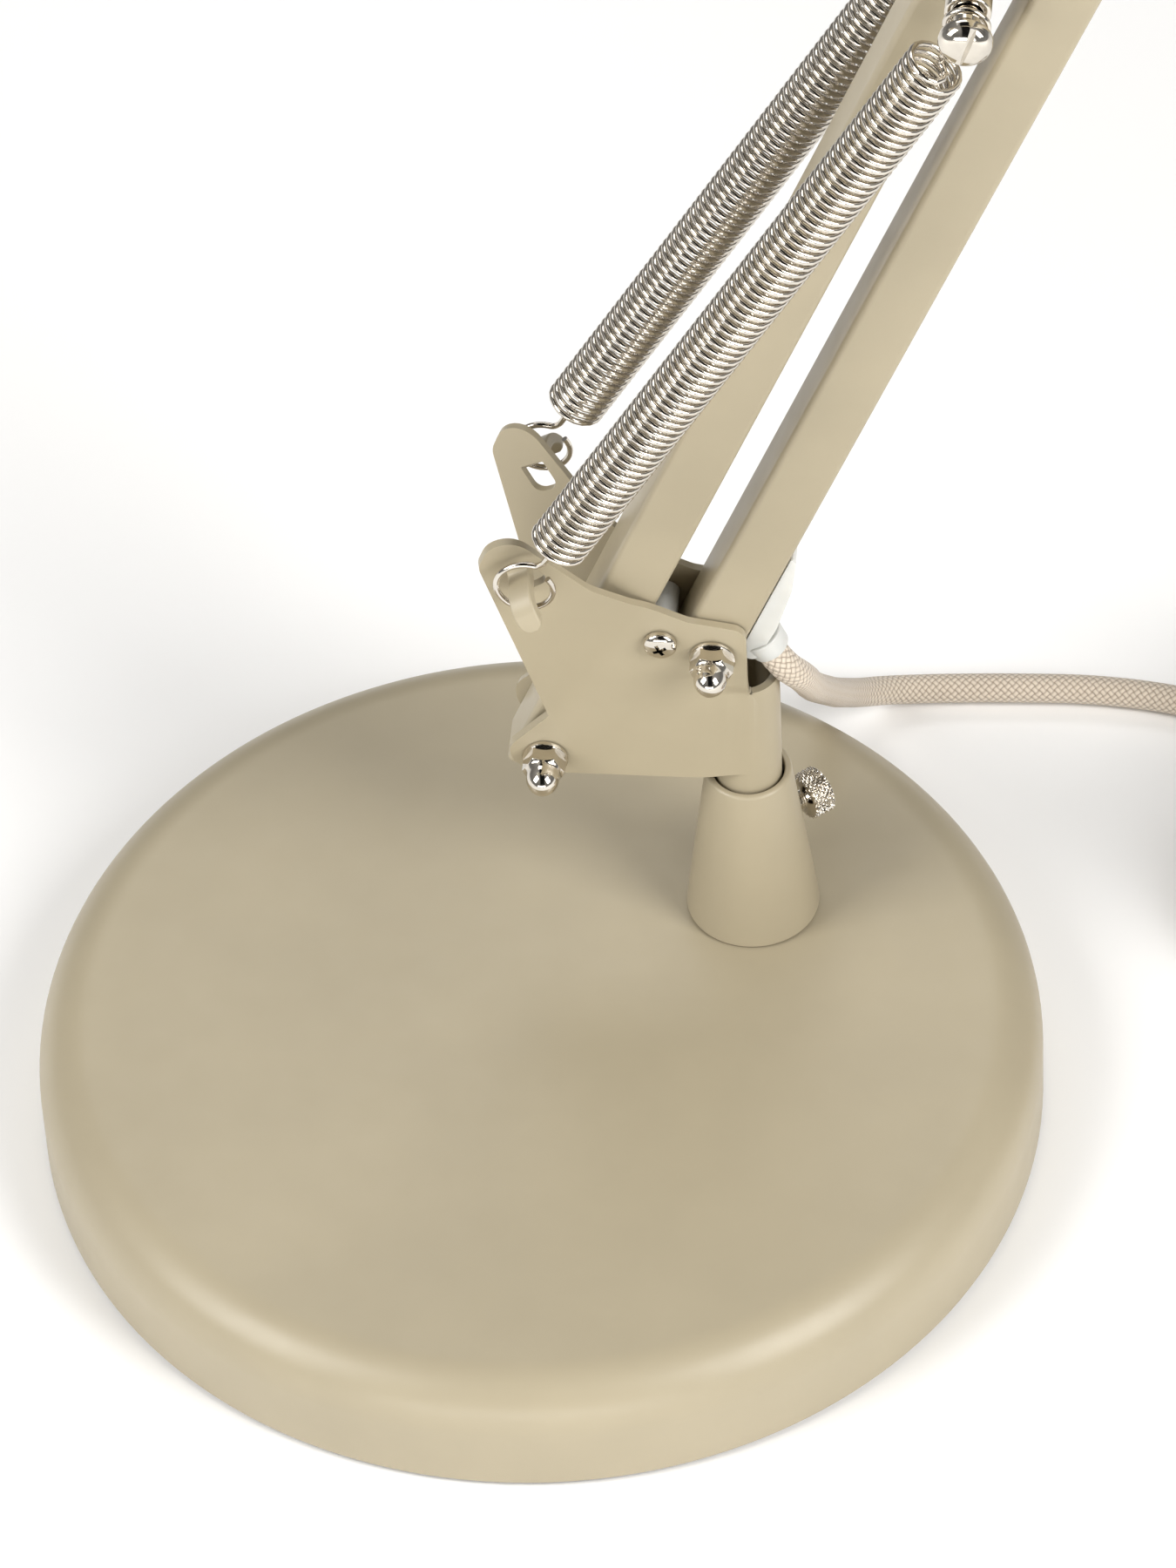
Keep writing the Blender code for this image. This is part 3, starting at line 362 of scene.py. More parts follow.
def makePaint(name="puttyPaint", colour=paintSet["colour"], rough=paintSet["rough"]):
    mat, tree, shader = newFinish(name, colour, rough)
    low = tuple(c * (1 - paintSet["spread"]) for c in colour)
    high = tuple(min(c * (1 + paintSet["spread"]), 1.0) for c in colour)
    cloud = grain(tree, 28, 4)
    tree.links.new(blendColour(tree, cloud, [(0.3, low), (0.7, high)]), shader.inputs["Base Color"])
    tree.links.new(shift(tree, grain(tree, 160, 2), rough - 0.02, rough + 0.03), shader.inputs["Roughness"])
    roughen(tree, shader, grain(tree, 1100, 2), paintSet["peel"])
    return mat


metalSet = {"nickel": (0.72, 0.675, 0.60), "wire": (0.72, 0.675, 0.605), "rough": 0.06}


def makeNickel(name="brightNickel", colour=metalSet["nickel"], rough=metalSet["rough"]):
    mat, tree, shader = newFinish(name, colour, rough, 1.0)
    worn = tuple(c * 0.86 for c in colour)
    tree.links.new(blendColour(tree, grain(tree, 240, 4), [(0.32, worn), (0.62, colour)]),
                   shader.inputs["Base Color"])
    tree.links.new(shift(tree, grain(tree, 620, 3), rough, rough + 0.07), shader.inputs["Roughness"])
    roughen(tree, shader, grain(tree, 1500, 3), 0.000001)
    return mat


def makeNylon():
    mat, tree, shader = newFinish("whiteNylon", (0.60, 0.60, 0.57), 0.36, Subsurface_Weight=0.35,
                                  Subsurface_Scale=0.004)
    shader.inputs["Subsurface Radius"].default_value = (1.0, 0.9, 0.8)
    tree.links.new(blendColour(tree, grain(tree, 90, 2),
                               [(0.3, (0.56, 0.56, 0.53)), (0.7, (0.64, 0.64, 0.61))]),
                   shader.inputs["Base Color"])
    tree.links.new(shift(tree, grain(tree, 400, 2), 0.30, 0.45), shader.inputs["Roughness"])
    roughen(tree, shader, grain(tree, 900, 2), 0.000012)
    return mat


def makePlastic(name, colour, rough, peel=0.00002, scale=1400):
    mat, tree, shader = newFinish(name, colour, rough)
    low = tuple(c * 0.85 for c in colour)
    high = tuple(min(c * 1.12, 1.0) for c in colour)
    tree.links.new(blendColour(tree, grain(tree, 70, 3), [(0.3, low), (0.7, high)]),
                   shader.inputs["Base Color"])
    tree.links.new(shift(tree, grain(tree, 300, 2), rough - 0.06, rough + 0.08), shader.inputs["Roughness"])
    roughen(tree, shader, grain(tree, scale, 2), peel)
    return mat


def makeIron():
    mat, tree, shader = newFinish("castIron", (0.10, 0.10, 0.10), 0.7, 0.6)
    tree.links.new(blendColour(tree, grain(tree, 200, 5),
                               [(0.3, (0.06, 0.06, 0.06)), (0.7, (0.15, 0.14, 0.13))]),
                   shader.inputs["Base Color"])
    roughen(tree, shader, grain(tree, 700, 5), 0.0002)
    return mat


def makeGlass():
    mat, tree, shader = newFinish("frostedGlass", (0.93, 0.93, 0.90), 0.30, Transmission_Weight=0.55, IOR=1.5)
    tree.links.new(blendColour(tree, grain(tree, 60, 3),
                               [(0.3, (0.90, 0.90, 0.86)), (0.7, (0.96, 0.96, 0.94))]),
                   shader.inputs["Base Color"])
    tree.links.new(shift(tree, grain(tree, 1800, 2), 0.24, 0.40), shader.inputs["Roughness"])
    return mat


braidSet = {
    "strands": 12, "threads": 3,   # strand pairs around the cord, threads in a strand
    # light is a painted highlight for the strand crowns, gap a painted shade for the hollows between strands
    "light": (0.72, 0.63, 0.52), "middle": (0.60, 0.51, 0.41), "gap": (0.36, 0.29, 0.22),
    "relief": 0.00022,
}


def makeBraid():
    mat, tree, shader = newFinish("braidedCord", braidSet["middle"], 0.72, Sheen_Weight=0.25)
    place = tree.nodes.new("ShaderNodeUVMap")
    place.uv_map = "cordMap"
    parts = tree.nodes.new("ShaderNodeSeparateXYZ")
    tree.links.new(place.outputs["UV"], parts.inputs[0])
    u, v = parts.outputs["X"], parts.outputs["Y"]
    count = braidSet["strands"]
    right = calc(tree, "MULTIPLY", calc(tree, "ADD", u, v), count)
    left = calc(tree, "MULTIPLY", calc(tree, "SUBTRACT", u, v), count)
    swap = calc(tree, "ADD", calc(tree, "FLOOR", right), calc(tree, "FLOOR", left))
    onTop = calc(tree, "FLOORED_MODULO", swap, 2)
    ridges, fibres = [], []
    for across in (right, left):
        inside = calc(tree, "FRACT", across)
        ridges.append(calc(tree, "SINE", calc(tree, "MULTIPLY", inside, math.pi)))
        fine = calc(tree, "SINE", calc(tree, "MULTIPLY", inside, 2 * math.pi * braidSet["threads"]))
        fibres.append(calc(tree, "MULTIPLY_ADD", fine, 0.5, 0.5))

    def pick(pair):   # the strand that lies on top here
        other = calc(tree, "MULTIPLY", pair[0], calc(tree, "SUBTRACT", 1.0, onTop))
        return calc(tree, "MULTIPLY_ADD", pair[1], onTop, other)

    crown = pick(ridges)
    dip = pick(ridges[::-1])
    thread = pick(fibres)
    height = calc(tree, "MULTIPLY", crown, calc(tree, "MULTIPLY_ADD", dip, 0.45, 0.55))
    fuzz = grain(tree, 2600, 3)
    full = calc(tree, "ADD", height, calc(tree, "MULTIPLY_ADD", thread, 0.14,
                                          calc(tree, "MULTIPLY", fuzz, 0.18)))
    # the colour follows the weave's height: painted shade in the gaps between strands and along the threads,
    # a painted highlight on the strand crowns, with random fuzz
    shade = blendColour(tree, full, [(0.30, braidSet["gap"]), (1.05, braidSet["light"]),
                                     (0.62, braidSet["middle"])])
    tree.links.new(shade, shader.inputs["Base Color"])
    tree.links.new(shift(tree, fuzz, 0.62, 0.85), shader.inputs["Roughness"])
    roughen(tree, shader, full, braidSet["relief"])
    return mat


paint = makePaint()
shadeWhite = makePaint("shadeWhite", (0.82, 0.82, 0.79), 0.45)
nickel = makeNickel()
springWire = makeNickel("springWire", metalSet["wire"], 0.07)
brass = makeNickel("capBrass", (0.72, 0.60, 0.36), 0.22)
nylon = makeNylon()
black = makePlastic("blackPlastic", (0.028, 0.027, 0.026), 0.34)
plugPlastic = makePlastic("plugPlastic", (0.74, 0.72, 0.66), 0.32)
rubber = makePlastic("footRubber", (0.035, 0.034, 0.033), 0.8, 0.00008, 600)
iron = makeIron()
glass = makeGlass()
braid = makeBraid()
print("finishes made")


# foot and post

footSet = {"round": 0.0105, "sheet": 0.0012, "rim": 0.0008}


def makeFoot():
    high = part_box("base_cover")[1]
    radius, top, wall = high.x, high.z, footSet["sheet"]
    corners = [(0, top, 0), (radius, top, footSet["round"]), (radius, footSet["rim"], 0.0005),
               (radius - wall, footSet["rim"], 0.0005), (radius - wall, top - wall, footSet["round"] - wall),
               (0, top - wall, 0)]
    form = bmesh.new()
    lathe(form, soften(corners, 14, closed=False), upright(), 180)
    settle(meshObject(form, "foot_cover"), "base", "putty_paint", paint, "base_cover")
    for node, finish in (("base_ballast", iron), ("foot_pad", rubber), ("socket_bolt", nickel)):
        nodes[node].data.materials.clear()
        nodes[node].data.materials.append(finish)


socketSet = {"top": 0.0617, "topRadius": 0.0081, "footRadius": 0.0127, "bore": 0.0068, "boreFoot": 0.0323,
             "lip": 0.0007, "screwHole": 0.0026}
knurlSet = {"radius": 0.0043, "start": 0.0122, "end": 0.0170, "teeth": 24, "depth": 0.00055, "slope": 0.0011}


def clampFrame():
    outward = Vector(joints["clamp_turn"]["axis"])
    return frameAt(pivot("clamp_turn"), (0, 0, 1), outward.cross((0, 0, 1)))


def makePost():
    post = upright(pivot("swivel").x, pivot("swivel").y)
    plan = socketSet
    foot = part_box("post_socket")[0].z
    corners = [(plan["bore"], plan["top"], plan["lip"] * 0.5), (plan["topRadius"], plan["top"], plan["lip"]),
               (plan["footRadius"], foot, 0.0004), (0.0045, foot, 0), (0.0045, plan["boreFoot"], 0),
               (plan["bore"], plan["boreFoot"], 0)]
    form = bmesh.new()
    lathe(form, soften(corners, 6), post, 128, closed=True)
    socket = meshObject(form, "cone_socket")
    hole = bmesh.new()
    bmesh.ops.create_cone(hole, cap_ends=True, segments=32, radius1=plan["screwHole"],
                          radius2=plan["screwHole"], depth=0.014,
                          matrix=clampFrame() @ Matrix.Translation((0, 0, 0.011)))
    carve(socket, meshObject(hole, "screw_hole"))
    settle(socket, "base", "putty_paint", paint, "post_socket")

    plan = knurlSet
    thread = [(0.0019 - 0.00022 * (k % 2), 0.0066 + 0.00025 * k) for k in range(22)]
    start, end, radius = plan["start"], plan["end"], plan["radius"]
    rows = [(radius - 0.0001, start + 0.0004 + (end - start - 0.0008) * k / 30) for k in range(31)]
    profile = [(0, 0.0066)] + thread + [(0.0019, start), (radius - 0.0006, start),
                                        (radius - 0.0002, start + 0.0002)]
    profile += rows + [(radius - 0.0002, end - 0.0002), (radius - 0.0006, end), (0.0026, end),
                       (0.0023, end - 0.0003),
                       (0, end - 0.0003)]
    form = bmesh.new()
    lathe(form, profile, clampFrame(), 210)
    back = clampFrame().inverted()
    for vert in form.verts:
        local = back @ vert.co
        reach = math.hypot(local.x, local.y)
        if start + 0.00035 < local.z < end - 0.00035 and reach > radius * 0.9:
            turn = math.atan2(local.y, local.x) / (2 * math.pi) * plan["teeth"]
            heights = [abs(((turn + sign * local.z / plan["slope"]) % 1.0) * 2 - 1) for sign in (1, -1)]
            share = 1 + plan["depth"] * (min(heights) * 1.6 - 0.6) / reach
            vert.co = clampFrame() @ Vector((local.x * share, local.y * share, local.z))
    settle(meshObject(form, "thumb_screw", 60), "clamp", "bright_nickel", nickel, "clamp_screw")


# swivel bracket

bracketSet = {
    "rollTop": 0.0886, "neck": 0.0095, "spigot": 0.0064, "spigotFoot": 0.0335,
    "flarePoint": (0.0128, 0.0970), "flareAngle": 60.0, "flareSlope": 0.24, "bend": 0.0025,
    "slot": ((-0.0004, 0.1279), (0.0026, 0.1226), 0.0024), "edge": 0.00045,
}


def flare(x, z):   # how far a cheek stands out past its soft diagonal fold
    angle = math.radians(bracketSet["flareAngle"])
    point, bend = bracketSet["flarePoint"], bracketSet["bend"]
    past = -math.sin(angle) * (x - point[0]) + math.cos(angle) * (z - point[1])
    if past <= -bend:
        return 0.0
    if past < bend:
        return bracketSet["flareSlope"] * (past + bend) ** 2 / (4 * bend)
    return bracketSet["flareSlope"] * past


def narrowing(x):   # how far a cheek closes in towards the post
    post, neck = pivot("swivel").x, bracketSet["neck"]
    return (lampPlan["cheekOut"] - bracketSet["spigot"]) * eased((x - post + neck) / neck)


def cheekSheet(form):   # one half of the flat sheet, folded, as a surface half way through its thickness
    plan, sheet = bracketSet, lampPlan["sheet"]
    post = pivot("swivel").x
    rollRadius = plan["spigot"] - sheet / 2
    quarter = rollRadius * math.pi / 2
    top = plan["rollTop"]
    side = soften([
        (-0.0078, 0.1297, 0.0050), (-0.0045, 0.1385, 0.0041), (0.0008, 0.1340, 0.0060),
        (0.0118, 0.1190, 0.010), (0.0190, 0.1135, 0.012), (0.0290, 0.1085, 0.006),
        (0.0396, 0.1065, 0.0030), (0.0396, top, 0.0006), (post + quarter, top, 0),
        (post + quarter, 0.0664, 0), (-0.0052, 0.0664, 0.0062), (-0.0052, 0.0745, 0.0040),
        (0.0024, 0.0824, 0.0006)], 8)
    first, last, half = Vector(plan["slot"][0]), Vector(plan["slot"][1]), plan["slot"][2]
    way = (last - first).normalized()
    wide = Vector((-way.y, way.x)) * half
    slot = soften([(*(first + wide), 0.0004), (*(first - wide), 0.0004),
                   (*(last - wide), 0.0019), (*(last + wide), 0.0019)], 8)
    edges = []
    for loop in (side, slot):
        verts = [form.verts.new((p[0], 0, p[1])) for p in loop]
        edges += [form.edges.new(pair) for pair in zip(verts, verts[1:] + verts[:1])]
    bmesh.ops.triangle_fill(form, use_beauty=True, use_dissolve=False, edges=edges)

    def slice(spot, normal):
        bmesh.ops.bisect_plane(form, geom=form.verts[:] + form.edges[:] + form.faces[:], dist=1e-6,
                               plane_co=spot, plane_no=normal)

    angle = math.radians(plan["flareAngle"])
    normal = Vector((-math.sin(angle), 0, math.cos(angle)))
    for k in range(9):
        offset = plan["bend"] * (k / 4 - 1)
        slice(Vector((plan["flarePoint"][0], 0, plan["flarePoint"][1])) + normal * offset, normal)
    for k in range(11):
        slice((post - plan["neck"] * (1 - k / 10), 0, 0), (1, 0, 0))
    for k in range(1, 10):
        slice((post + quarter * k / 10, 0, 0), (1, 0, 0))
    for k in range(7):
        slice((0, 0, top + 0.0040 * k / 6), (0, 0, 1))
    for vert in form.verts:
        x, z = vert.co.x, vert.co.z
        middle = lampPlan["cheekOut"] - sheet / 2
        if x > post and z <= top + 1e-6:
            bow = (x - post) / rollRadius
            vert.co.x = post + rollRadius * math.sin(bow)
            vert.co.y = -rollRadius * math.cos(bow)
        else:
            closed = narrowing(x) * (1 - eased((z - top) / 0.0040))
            vert.co.y = -(middle - closed + flare(x, z))


tongueSet = {
    "curl": [(-0.0007, 0.0003), (0.0004, 0.0012), (0.0011, 0.0030), (0.0014, 0.0050),
             (0.0022, 0.0070), (0.0038, 0.0085), (0.0060, 0.0093), (0.0072, 0.0094)],
    "width": 0.0045, "halfThick": 0.70,   # half thickness as a share of the sheet
    "tipLength": 0.0024, "tipFrom": 0.0070, "tipLeast": 0.25,
}


def tongue(form, side):   # the hook turned out of the slot, which holds a spring's ring
    first, last = Vector(bracketSet["slot"][0]), Vector(bracketSet["slot"][1])
    way = (last - first).normalized()
    face = lampPlan["cheekOut"] + flare(first.x, first.y) - lampPlan["sheet"] / 2
    place = frameAt((first.x, armY + side * face, first.y), (way.x, 0, way.y), (0, side, 0))
    path = [p.to_2d() for p in smoothRoute([(a, b, 0) for a, b in tongueSet["curl"]], 0.0005)]
    left, right = [], []
    for i, point in enumerate(path):
        along = (path[min(i + 1, len(path) - 1)] - path[max(i - 1, 0)]).normalized()
        across = Vector((-along.y, along.x)) * lampPlan["sheet"] * tongueSet["halfThick"]
        left.append(point + across)
        right.append(point - across)
    before = set(form.verts)
    plate(form, [left + right[::-1]], tongueSet["width"], place)
    back = place.inverted()
    for vert in set(form.verts) - before:
        local = back @ vert.co
        past = 1 - (path[-1].x - local.x) / tongueSet["tipLength"]
        if past > 0 and local.y > tongueSet["tipFrom"]:   # the free end is rounded off in its width
            local.z *= max(math.sqrt(max(1 - past * past, 0)), tongueSet["tipLeast"])
            vert.co = place @ local


def makeBracket():
    form = bmesh.new()
    cheekSheet(form)
    copy = bmesh.ops.duplicate(form, geom=form.verts[:] + form.edges[:] + form.faces[:])["geom"]
    bmesh.ops.scale(form, verts=[part for part in copy if isinstance(part, bmesh.types.BMVert)],
                    vec=(1, -1, 1))
    bmesh.ops.translate(form, verts=form.verts, vec=(0, armY, 0))
    bmesh.ops.remove_doubles(form, verts=form.verts, dist=0.00002)
    bmesh.ops.recalc_face_normals(form, faces=form.faces)
    bmesh.ops.dissolve_limit(form, angle_limit=0.0006, verts=form.verts, edges=form.edges)
    sheet = meshObject(form, "folded_bracket", 40)
    wall = sheet.modifiers.new("sheet", "SOLIDIFY")
    wall.thickness = lampPlan["sheet"]
    wall.offset = 0
    bevelEdges(sheet, bracketSet["edge"], 3, 60)
    settle(sheet, "bracket", "putty_paint", paint, "pivot_bracket")

    form = bmesh.new()
    outer = bracketSet["spigot"] - 0.0001
    inner = outer - lampPlan["sheet"] + 0.0002
    foot = bracketSet["spigotFoot"]
    lathe(form, soften([(inner, 0.0690, 0), (outer, 0.0690, 0), (outer, foot, 0.0004),
                        (inner, foot, 0.0002)], 3),
          upright(pivot("swivel").x, armY), 72, closed=True)
    settle(meshObject(form, "bracket_spigot"), "bracket", "putty_paint", paint)
    for label, side in (("front", -1), ("rear", 1)):
        form = bmesh.new()
        tongue(form, side)
        hook = meshObject(form, "bracket_tongue_" + label, 60)
        bevelEdges(hook, 0.00085, 5)
        settle(hook, "bracket", "putty_paint", paint)


# fasteners

nutSet = {
    "apothem": 0.0035, "corner": 0.00404, "flange": 0.0043,
    "hexTop": 0.0040, "dome": 0.0031, "top": 0.0090,
}


def makeNut(name, spot, node):
    plan, place = nutSet, acrossArms(spot)
    dome = [(plan["dome"] * math.cos(t), seat + 0.0054 + (plan["top"] - 0.0054) * math.sin(t))
            for t in (math.radians(5 * k) for k in range(19))][::-1]
    chamfer = [(plan["corner"] - 0.00054 * k / 5, seat + plan["hexTop"] - 0.00034 + 0.00034 * k / 5)
               for k in range(6)][::-1]
    profile = dome + [(plan["dome"], seat + 0.0050), (plan["dome"] + 0.00015, seat + 0.0044)] + chamfer
    profile += [(plan["corner"], seat + 0.0009), (plan["flange"] - 0.0001, seat + 0.0008),
                (plan["flange"], seat + 0.0006), (plan["flange"], seat + 0.0001),
                (plan["flange"] - 0.0001, seat),
                (0.0021, seat), (0.0021, seat + 0.0058), (0, seat + 0.0058)]
    profile[0] = (0, seat + plan["top"])
    form = bmesh.new()
    lathe(form, profile, place, 96)
    clipToHex(form, place, seat + 0.00085, seat + plan["hexTop"] + 0.00001, plan["apothem"])
    settle(meshObject(form, name, 30), "bracket", "bright_nickel", nickel, node)


def makeBolt(name, spot, node):
    place = acrossArms(spot)
    head = seat + 0.0028
    chamfer = [(0.00404 - 0.00054 * k / 5, -head + 0.00034 - 0.00034 * k / 5) for k in range(6)][::-1]
    profile = [(0, -head)] + chamfer + [(0.00404, -seat), (0.0020, -seat), (0.0020, seat + 0.0046),
                                        (0.0016, seat + 0.0050), (0, seat + 0.0050)]
    form = bmesh.new()
    lathe(form, profile, place, 96)
    clipToHex(form, place, -head - 0.00001, -seat + 0.00001, nutSet["apothem"])
    settle(meshObject(form, name, 30), "bracket", "bright_nickel", nickel, node)


def crossCutter(place, depth, reach, width):   # the crossed recess of a screw's head
    a, b = reach / 2, width / 2
    outline = [(b, b), (b, a), (-b, a), (-b, b), (-a, b), (-a, -b),
               (-b, -b), (-b, -a), (b, -a), (b, -b), (a, -b), (a, b)]
    form = bmesh.new()
    plate(form, [outline], depth, place)
    for vert in form.verts:
        local = place.inverted() @ vert.co
        if local.z < 0:
            vert.co = place @ Vector((local.x * 0.6, local.y * 0.6, local.z))
    return meshObject(form, "cross_cutter")


def makeStop():
    place = acrossArms(lampPlan["stopPivot"])
    dome = [(0.0031 * math.cos(t), seat + 0.0007 + 0.0014 * math.sin(t))
            for t in (math.radians(90 - 9 * k) for k in range(11))]
    dome[0] = (0, seat + 0.0021)
    profile = dome + [(0.0031, seat + 0.0001), (0.0030, seat), (0.0017, seat), (0.0017, -seat - 0.0030),
                      (0, -seat - 0.0030)]
    form = bmesh.new()
    lathe(form, profile, place, 72)
    screw = meshObject(form, "stop_screw_head")
    turned = place @ Matrix.Translation((0, 0, seat + 0.0020)) @ Matrix.Rotation(math.radians(28), 4, "Z")
    carve(screw, crossCutter(turned, 0.0026, 0.0034, 0.00085), 30)
    settle(screw, "bracket", "bright_nickel", nickel, "stop_screw")
    form = bmesh.new()
    lathe(form, soften([(0.0021, 0.0057, 0.0001), (0.00255, 0.0057, 0.0002), (0.00255, -0.0057, 0.0002),
                        (0.0021, -0.0057, 0.0001)], 3), place, 48, closed=True)
    settle(meshObject(form, "stop_bush"), "bracket", "white_nylon", nylon, "stop_sleeve")
    form = bmesh.new()
    low = -seat - 0.0026
    profile = [(0.0021, -seat), (0.00404, -seat), (0.00404, low + 0.0003), (0.0036, low), (0.0021, low)]
    lathe(form, profile, place, 72, closed=True)
    clipToHex(form, place, low - 0.00001, -seat + 0.00001, 0.0035)
    settle(meshObject(form, "stop_hex_nut", 30), "bracket", "bright_nickel", nickel, "stop_nut")


# arms

armSet = {"width": 0.0112, "wall": 0.0009, "round": 0.0013, "end": 0.0062}


def makeArm(name, start, tilt, length, body, node, offset=0.0):
    half, wall = armSet["width"] / 2, armSet["wall"]
    loops = []
    for reach, radius in ((half, armSet["round"]), (half - wall, armSet["round"] - wall * 0.8)):
        loops.append(soften([(-reach, -reach, radius), (reach, -reach, radius), (reach, reach, radius),
                             (-reach, reach, radius)], 6))
    along = armDirection(tilt)
    side = Vector((along.z, 0, -along.x))
    middle = start + along * length / 2 - side * offset
    form = bmesh.new()
    plate(form, loops, length + 2 * armSet["end"], frameAt(middle, side, along.cross(side)))
    arm = meshObject(form, name)
    bevelEdges(arm, 0.00022, 2, 70)
    settle(arm, body, "putty_paint", paint, node)


def makeGrommet():
    start = pivot("lower_arm_lean")
    along = armDirection(lampPlan["lowerTilt"])
    out = Vector((along.z, 0, -along.x))
    half = armSet["width"] / 2 - lampPlan["mainOffset"] + 0.0001
    side = soften([(0.0006, half, 0.0003), (-0.0010, half + 0.0034, 0.0014), (0.0090, half + 0.0040, 0.0060),
                   (0.0200, half + 0.0030, 0.0060), (0.0268, half + 0.0012, 0.0020),
                   (0.0280, half, 0.0003)], 8)
    form = bmesh.new()
    plate(form, [side], 0.0100, frameAt(start, along, out))
    shoe = meshObject(form, "cord_shoe")
    bevelEdges(shoe, 0.0021, 5, 40)
    settle(shoe, "lower_arm", "white_nylon", nylon, "cord_grommet")
    lead = (cordRoute[2] - cordRoute[0]).normalized()
    form = bmesh.new()
    lip = soften([(0.0030, -0.0010, 0), (0.0041, -0.0010, 0.0003), (0.0037, 0.0030, 0.0004),
                  (0.0030, 0.0032, 0.0003)], 5)
    lathe(form, lip, frameAt(cordRoute[0] + lead * 0.0005, lead.cross((0, 1, 0)),
                             lead.cross(lead.cross((0, 1, 0)))), 48, closed=True)
    settle(meshObject(form, "cord_shoe_lip"), "lower_arm", "white_nylon", nylon)


# springs

springSet = {"outer": 0.0055, "wire": 0.00058, "pitch": 0.00184, "sidestep": 0.0177, "ring": 0.0052,
             "loop": 0.0036, "perTurn": 20, "sides": 12}


def springPath(near, far, lift, nearRing, farRing, nearGap, farGap):
    plan = springSet
    along = (far - near).normalized()
    length = (far - near).length
    across = Vector((0, 1, 0)).cross(along)
    sideways = Vector((0, 1, 0))
    mean = plan["outer"] - plan["wire"]

    def eyeAt(centre, way, radius, order):   # an open ring that ends in a bend along the spring
        points = []
        for k in range(44):
            angle = math.radians(-334 + 326 * k / 43)
            drift = sideways * plan["wire"] * 1.1 * (k / 43 - 0.5) * 2
            points.append(centre + (way * math.cos(angle) + across * math.sin(angle)) * radius + drift)
        edge = points[-1]
        for k in range(1, 7):   # the bend out of the ring
            share = k / 6
            corner = centre + way * (radius + 0.0004) + sideways * plan["wire"] * 1.1
            goal = centre + way * (radius + 0.0022)
            points.append(edge * (1 - share) ** 2 + corner * 2 * share * (1 - share) + goal * share ** 2)
        return points if order > 0 else points[::-1]

    first = eyeAt(near + lift, along, nearRing, 1)
    coilStart, coilEnd = nearGap, length - farGap
    turns = round((coilEnd - coilStart) / plan["pitch"])
    steps = turns * plan["perTurn"]
    middle = []
    for k in range(steps + 1):
        share = k / steps
        angle = 2 * math.pi * turns * share
        inward = min(k, steps - k) / (plan["perTurn"] * 0.30)
        radius = mean * eased(inward)
        height = coilStart + plan["wire"] + (coilEnd - coilStart - 2 * plan["wire"]) * share
        centre = near + lift + along * height
        middle.append(centre + (across * math.cos(angle) + sideways * math.sin(angle)) * radius)
    last = eyeAt(far + lift, -along, farRing, -1)
    neck = [first[-1].lerp(middle[0], t) for t in (0.35, 0.7)]
    tail = [middle[-1].lerp(last[0], t) for t in (0.3, 0.65)]
    return first + neck + middle + tail + last


def makeSprings(prefix, near, far, rings, gaps, bodies, finish):
    along = (far - near).normalized()
    for label, sign in (("front", -1), ("rear", 1)):
        lift = Vector((0, sign * springSet["sidestep"], 0))
        form = bmesh.new()
        sweep(form, springPath(near, far, lift, *rings, *gaps), springSet["wire"], springSet["sides"])
        spring = meshObject(form, f"{prefix}_wire_{label}", 60)
        names = [f"{prefix}_{part}_{label}" for part in ("hook", "coil", "loop")]
        settle(spring, None, "spring_wire", finish, *names)
        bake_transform(spring, *bodies, start=near + lift + along * gaps[0], end=far + lift - along * gaps[1])


def screwTip(outer):   # a domed screw head, from its neck's end outwards
    dome = [(0.0046 * math.cos(t) ** 0.8, outer + 0.0011 + 0.0025 * math.sin(t))
            for t in (math.radians(6 * k) for k in range(15))][::-1]
    return [(0, outer + 0.0036)] + dome + [(0.0047, outer + 0.0008), (0.0046, outer + 0.0001),
                                           (0.0044, outer)]


def slotCutter(place, turn):
    form = bmesh.new()
    shape = Matrix.Rotation(math.radians(turn), 4, "Z") @ Matrix.Diagonal((0.012, 0.00115, 0.0036, 1))
    bmesh.ops.create_cube(form, size=1.0, matrix=place @ shape)
    return meshObject(form, "slot_cutter")


def makeCrossbar(spot, name, body, nodeNames, hollow):
    place = acrossArms(spot)
    outer = springSet["sidestep"] + 0.0030
    if hollow:   # a tube with a screw in each end
        form = bmesh.new()
        tube = soften([(0.0027, 0.0148, 0.0002), (0.0040, 0.0148, 0.0004), (0.0040, -0.0148, 0.0004),
                       (0.0027, -0.0148, 0.0002)], 3)
        lathe(form, tube, place, 64, closed=True)
        settle(meshObject(form, name), body, "bright_nickel", nickel, nodeNames[0])
    for index, (label, turn, slot) in enumerate((("front", 0, 70), ("rear", math.pi, 35))):
        facing = place @ Matrix.Rotation(turn, 4, "X")
        inward = 0.0070 if hollow else 0.0
        shank = [(0.0024, outer)]
        if not hollow:
            shank += [(0.0024, 0.0149), (0.0038, 0.0148), (0.0040, 0.0146), (0.0040, 0.0)]
        form = bmesh.new()
        lathe(form, screwTip(outer) + shank + ([(0.0024, inward)] if hollow else []) + [(0, inward)],
              facing, 72)
        screw = meshObject(form, f"{name}_{label}")
        carve(screw, slotCutter(facing @ Matrix.Translation((0, 0, outer + 0.0038)), slot), 30)
        if hollow:
            settle(screw, body, "bright_nickel", nickel, nodeNames[1 + index])
        else:
            settle(screw, body, "bright_nickel", nickel, *([nodeNames[0]] if index == 0 else []))


# elbow and head

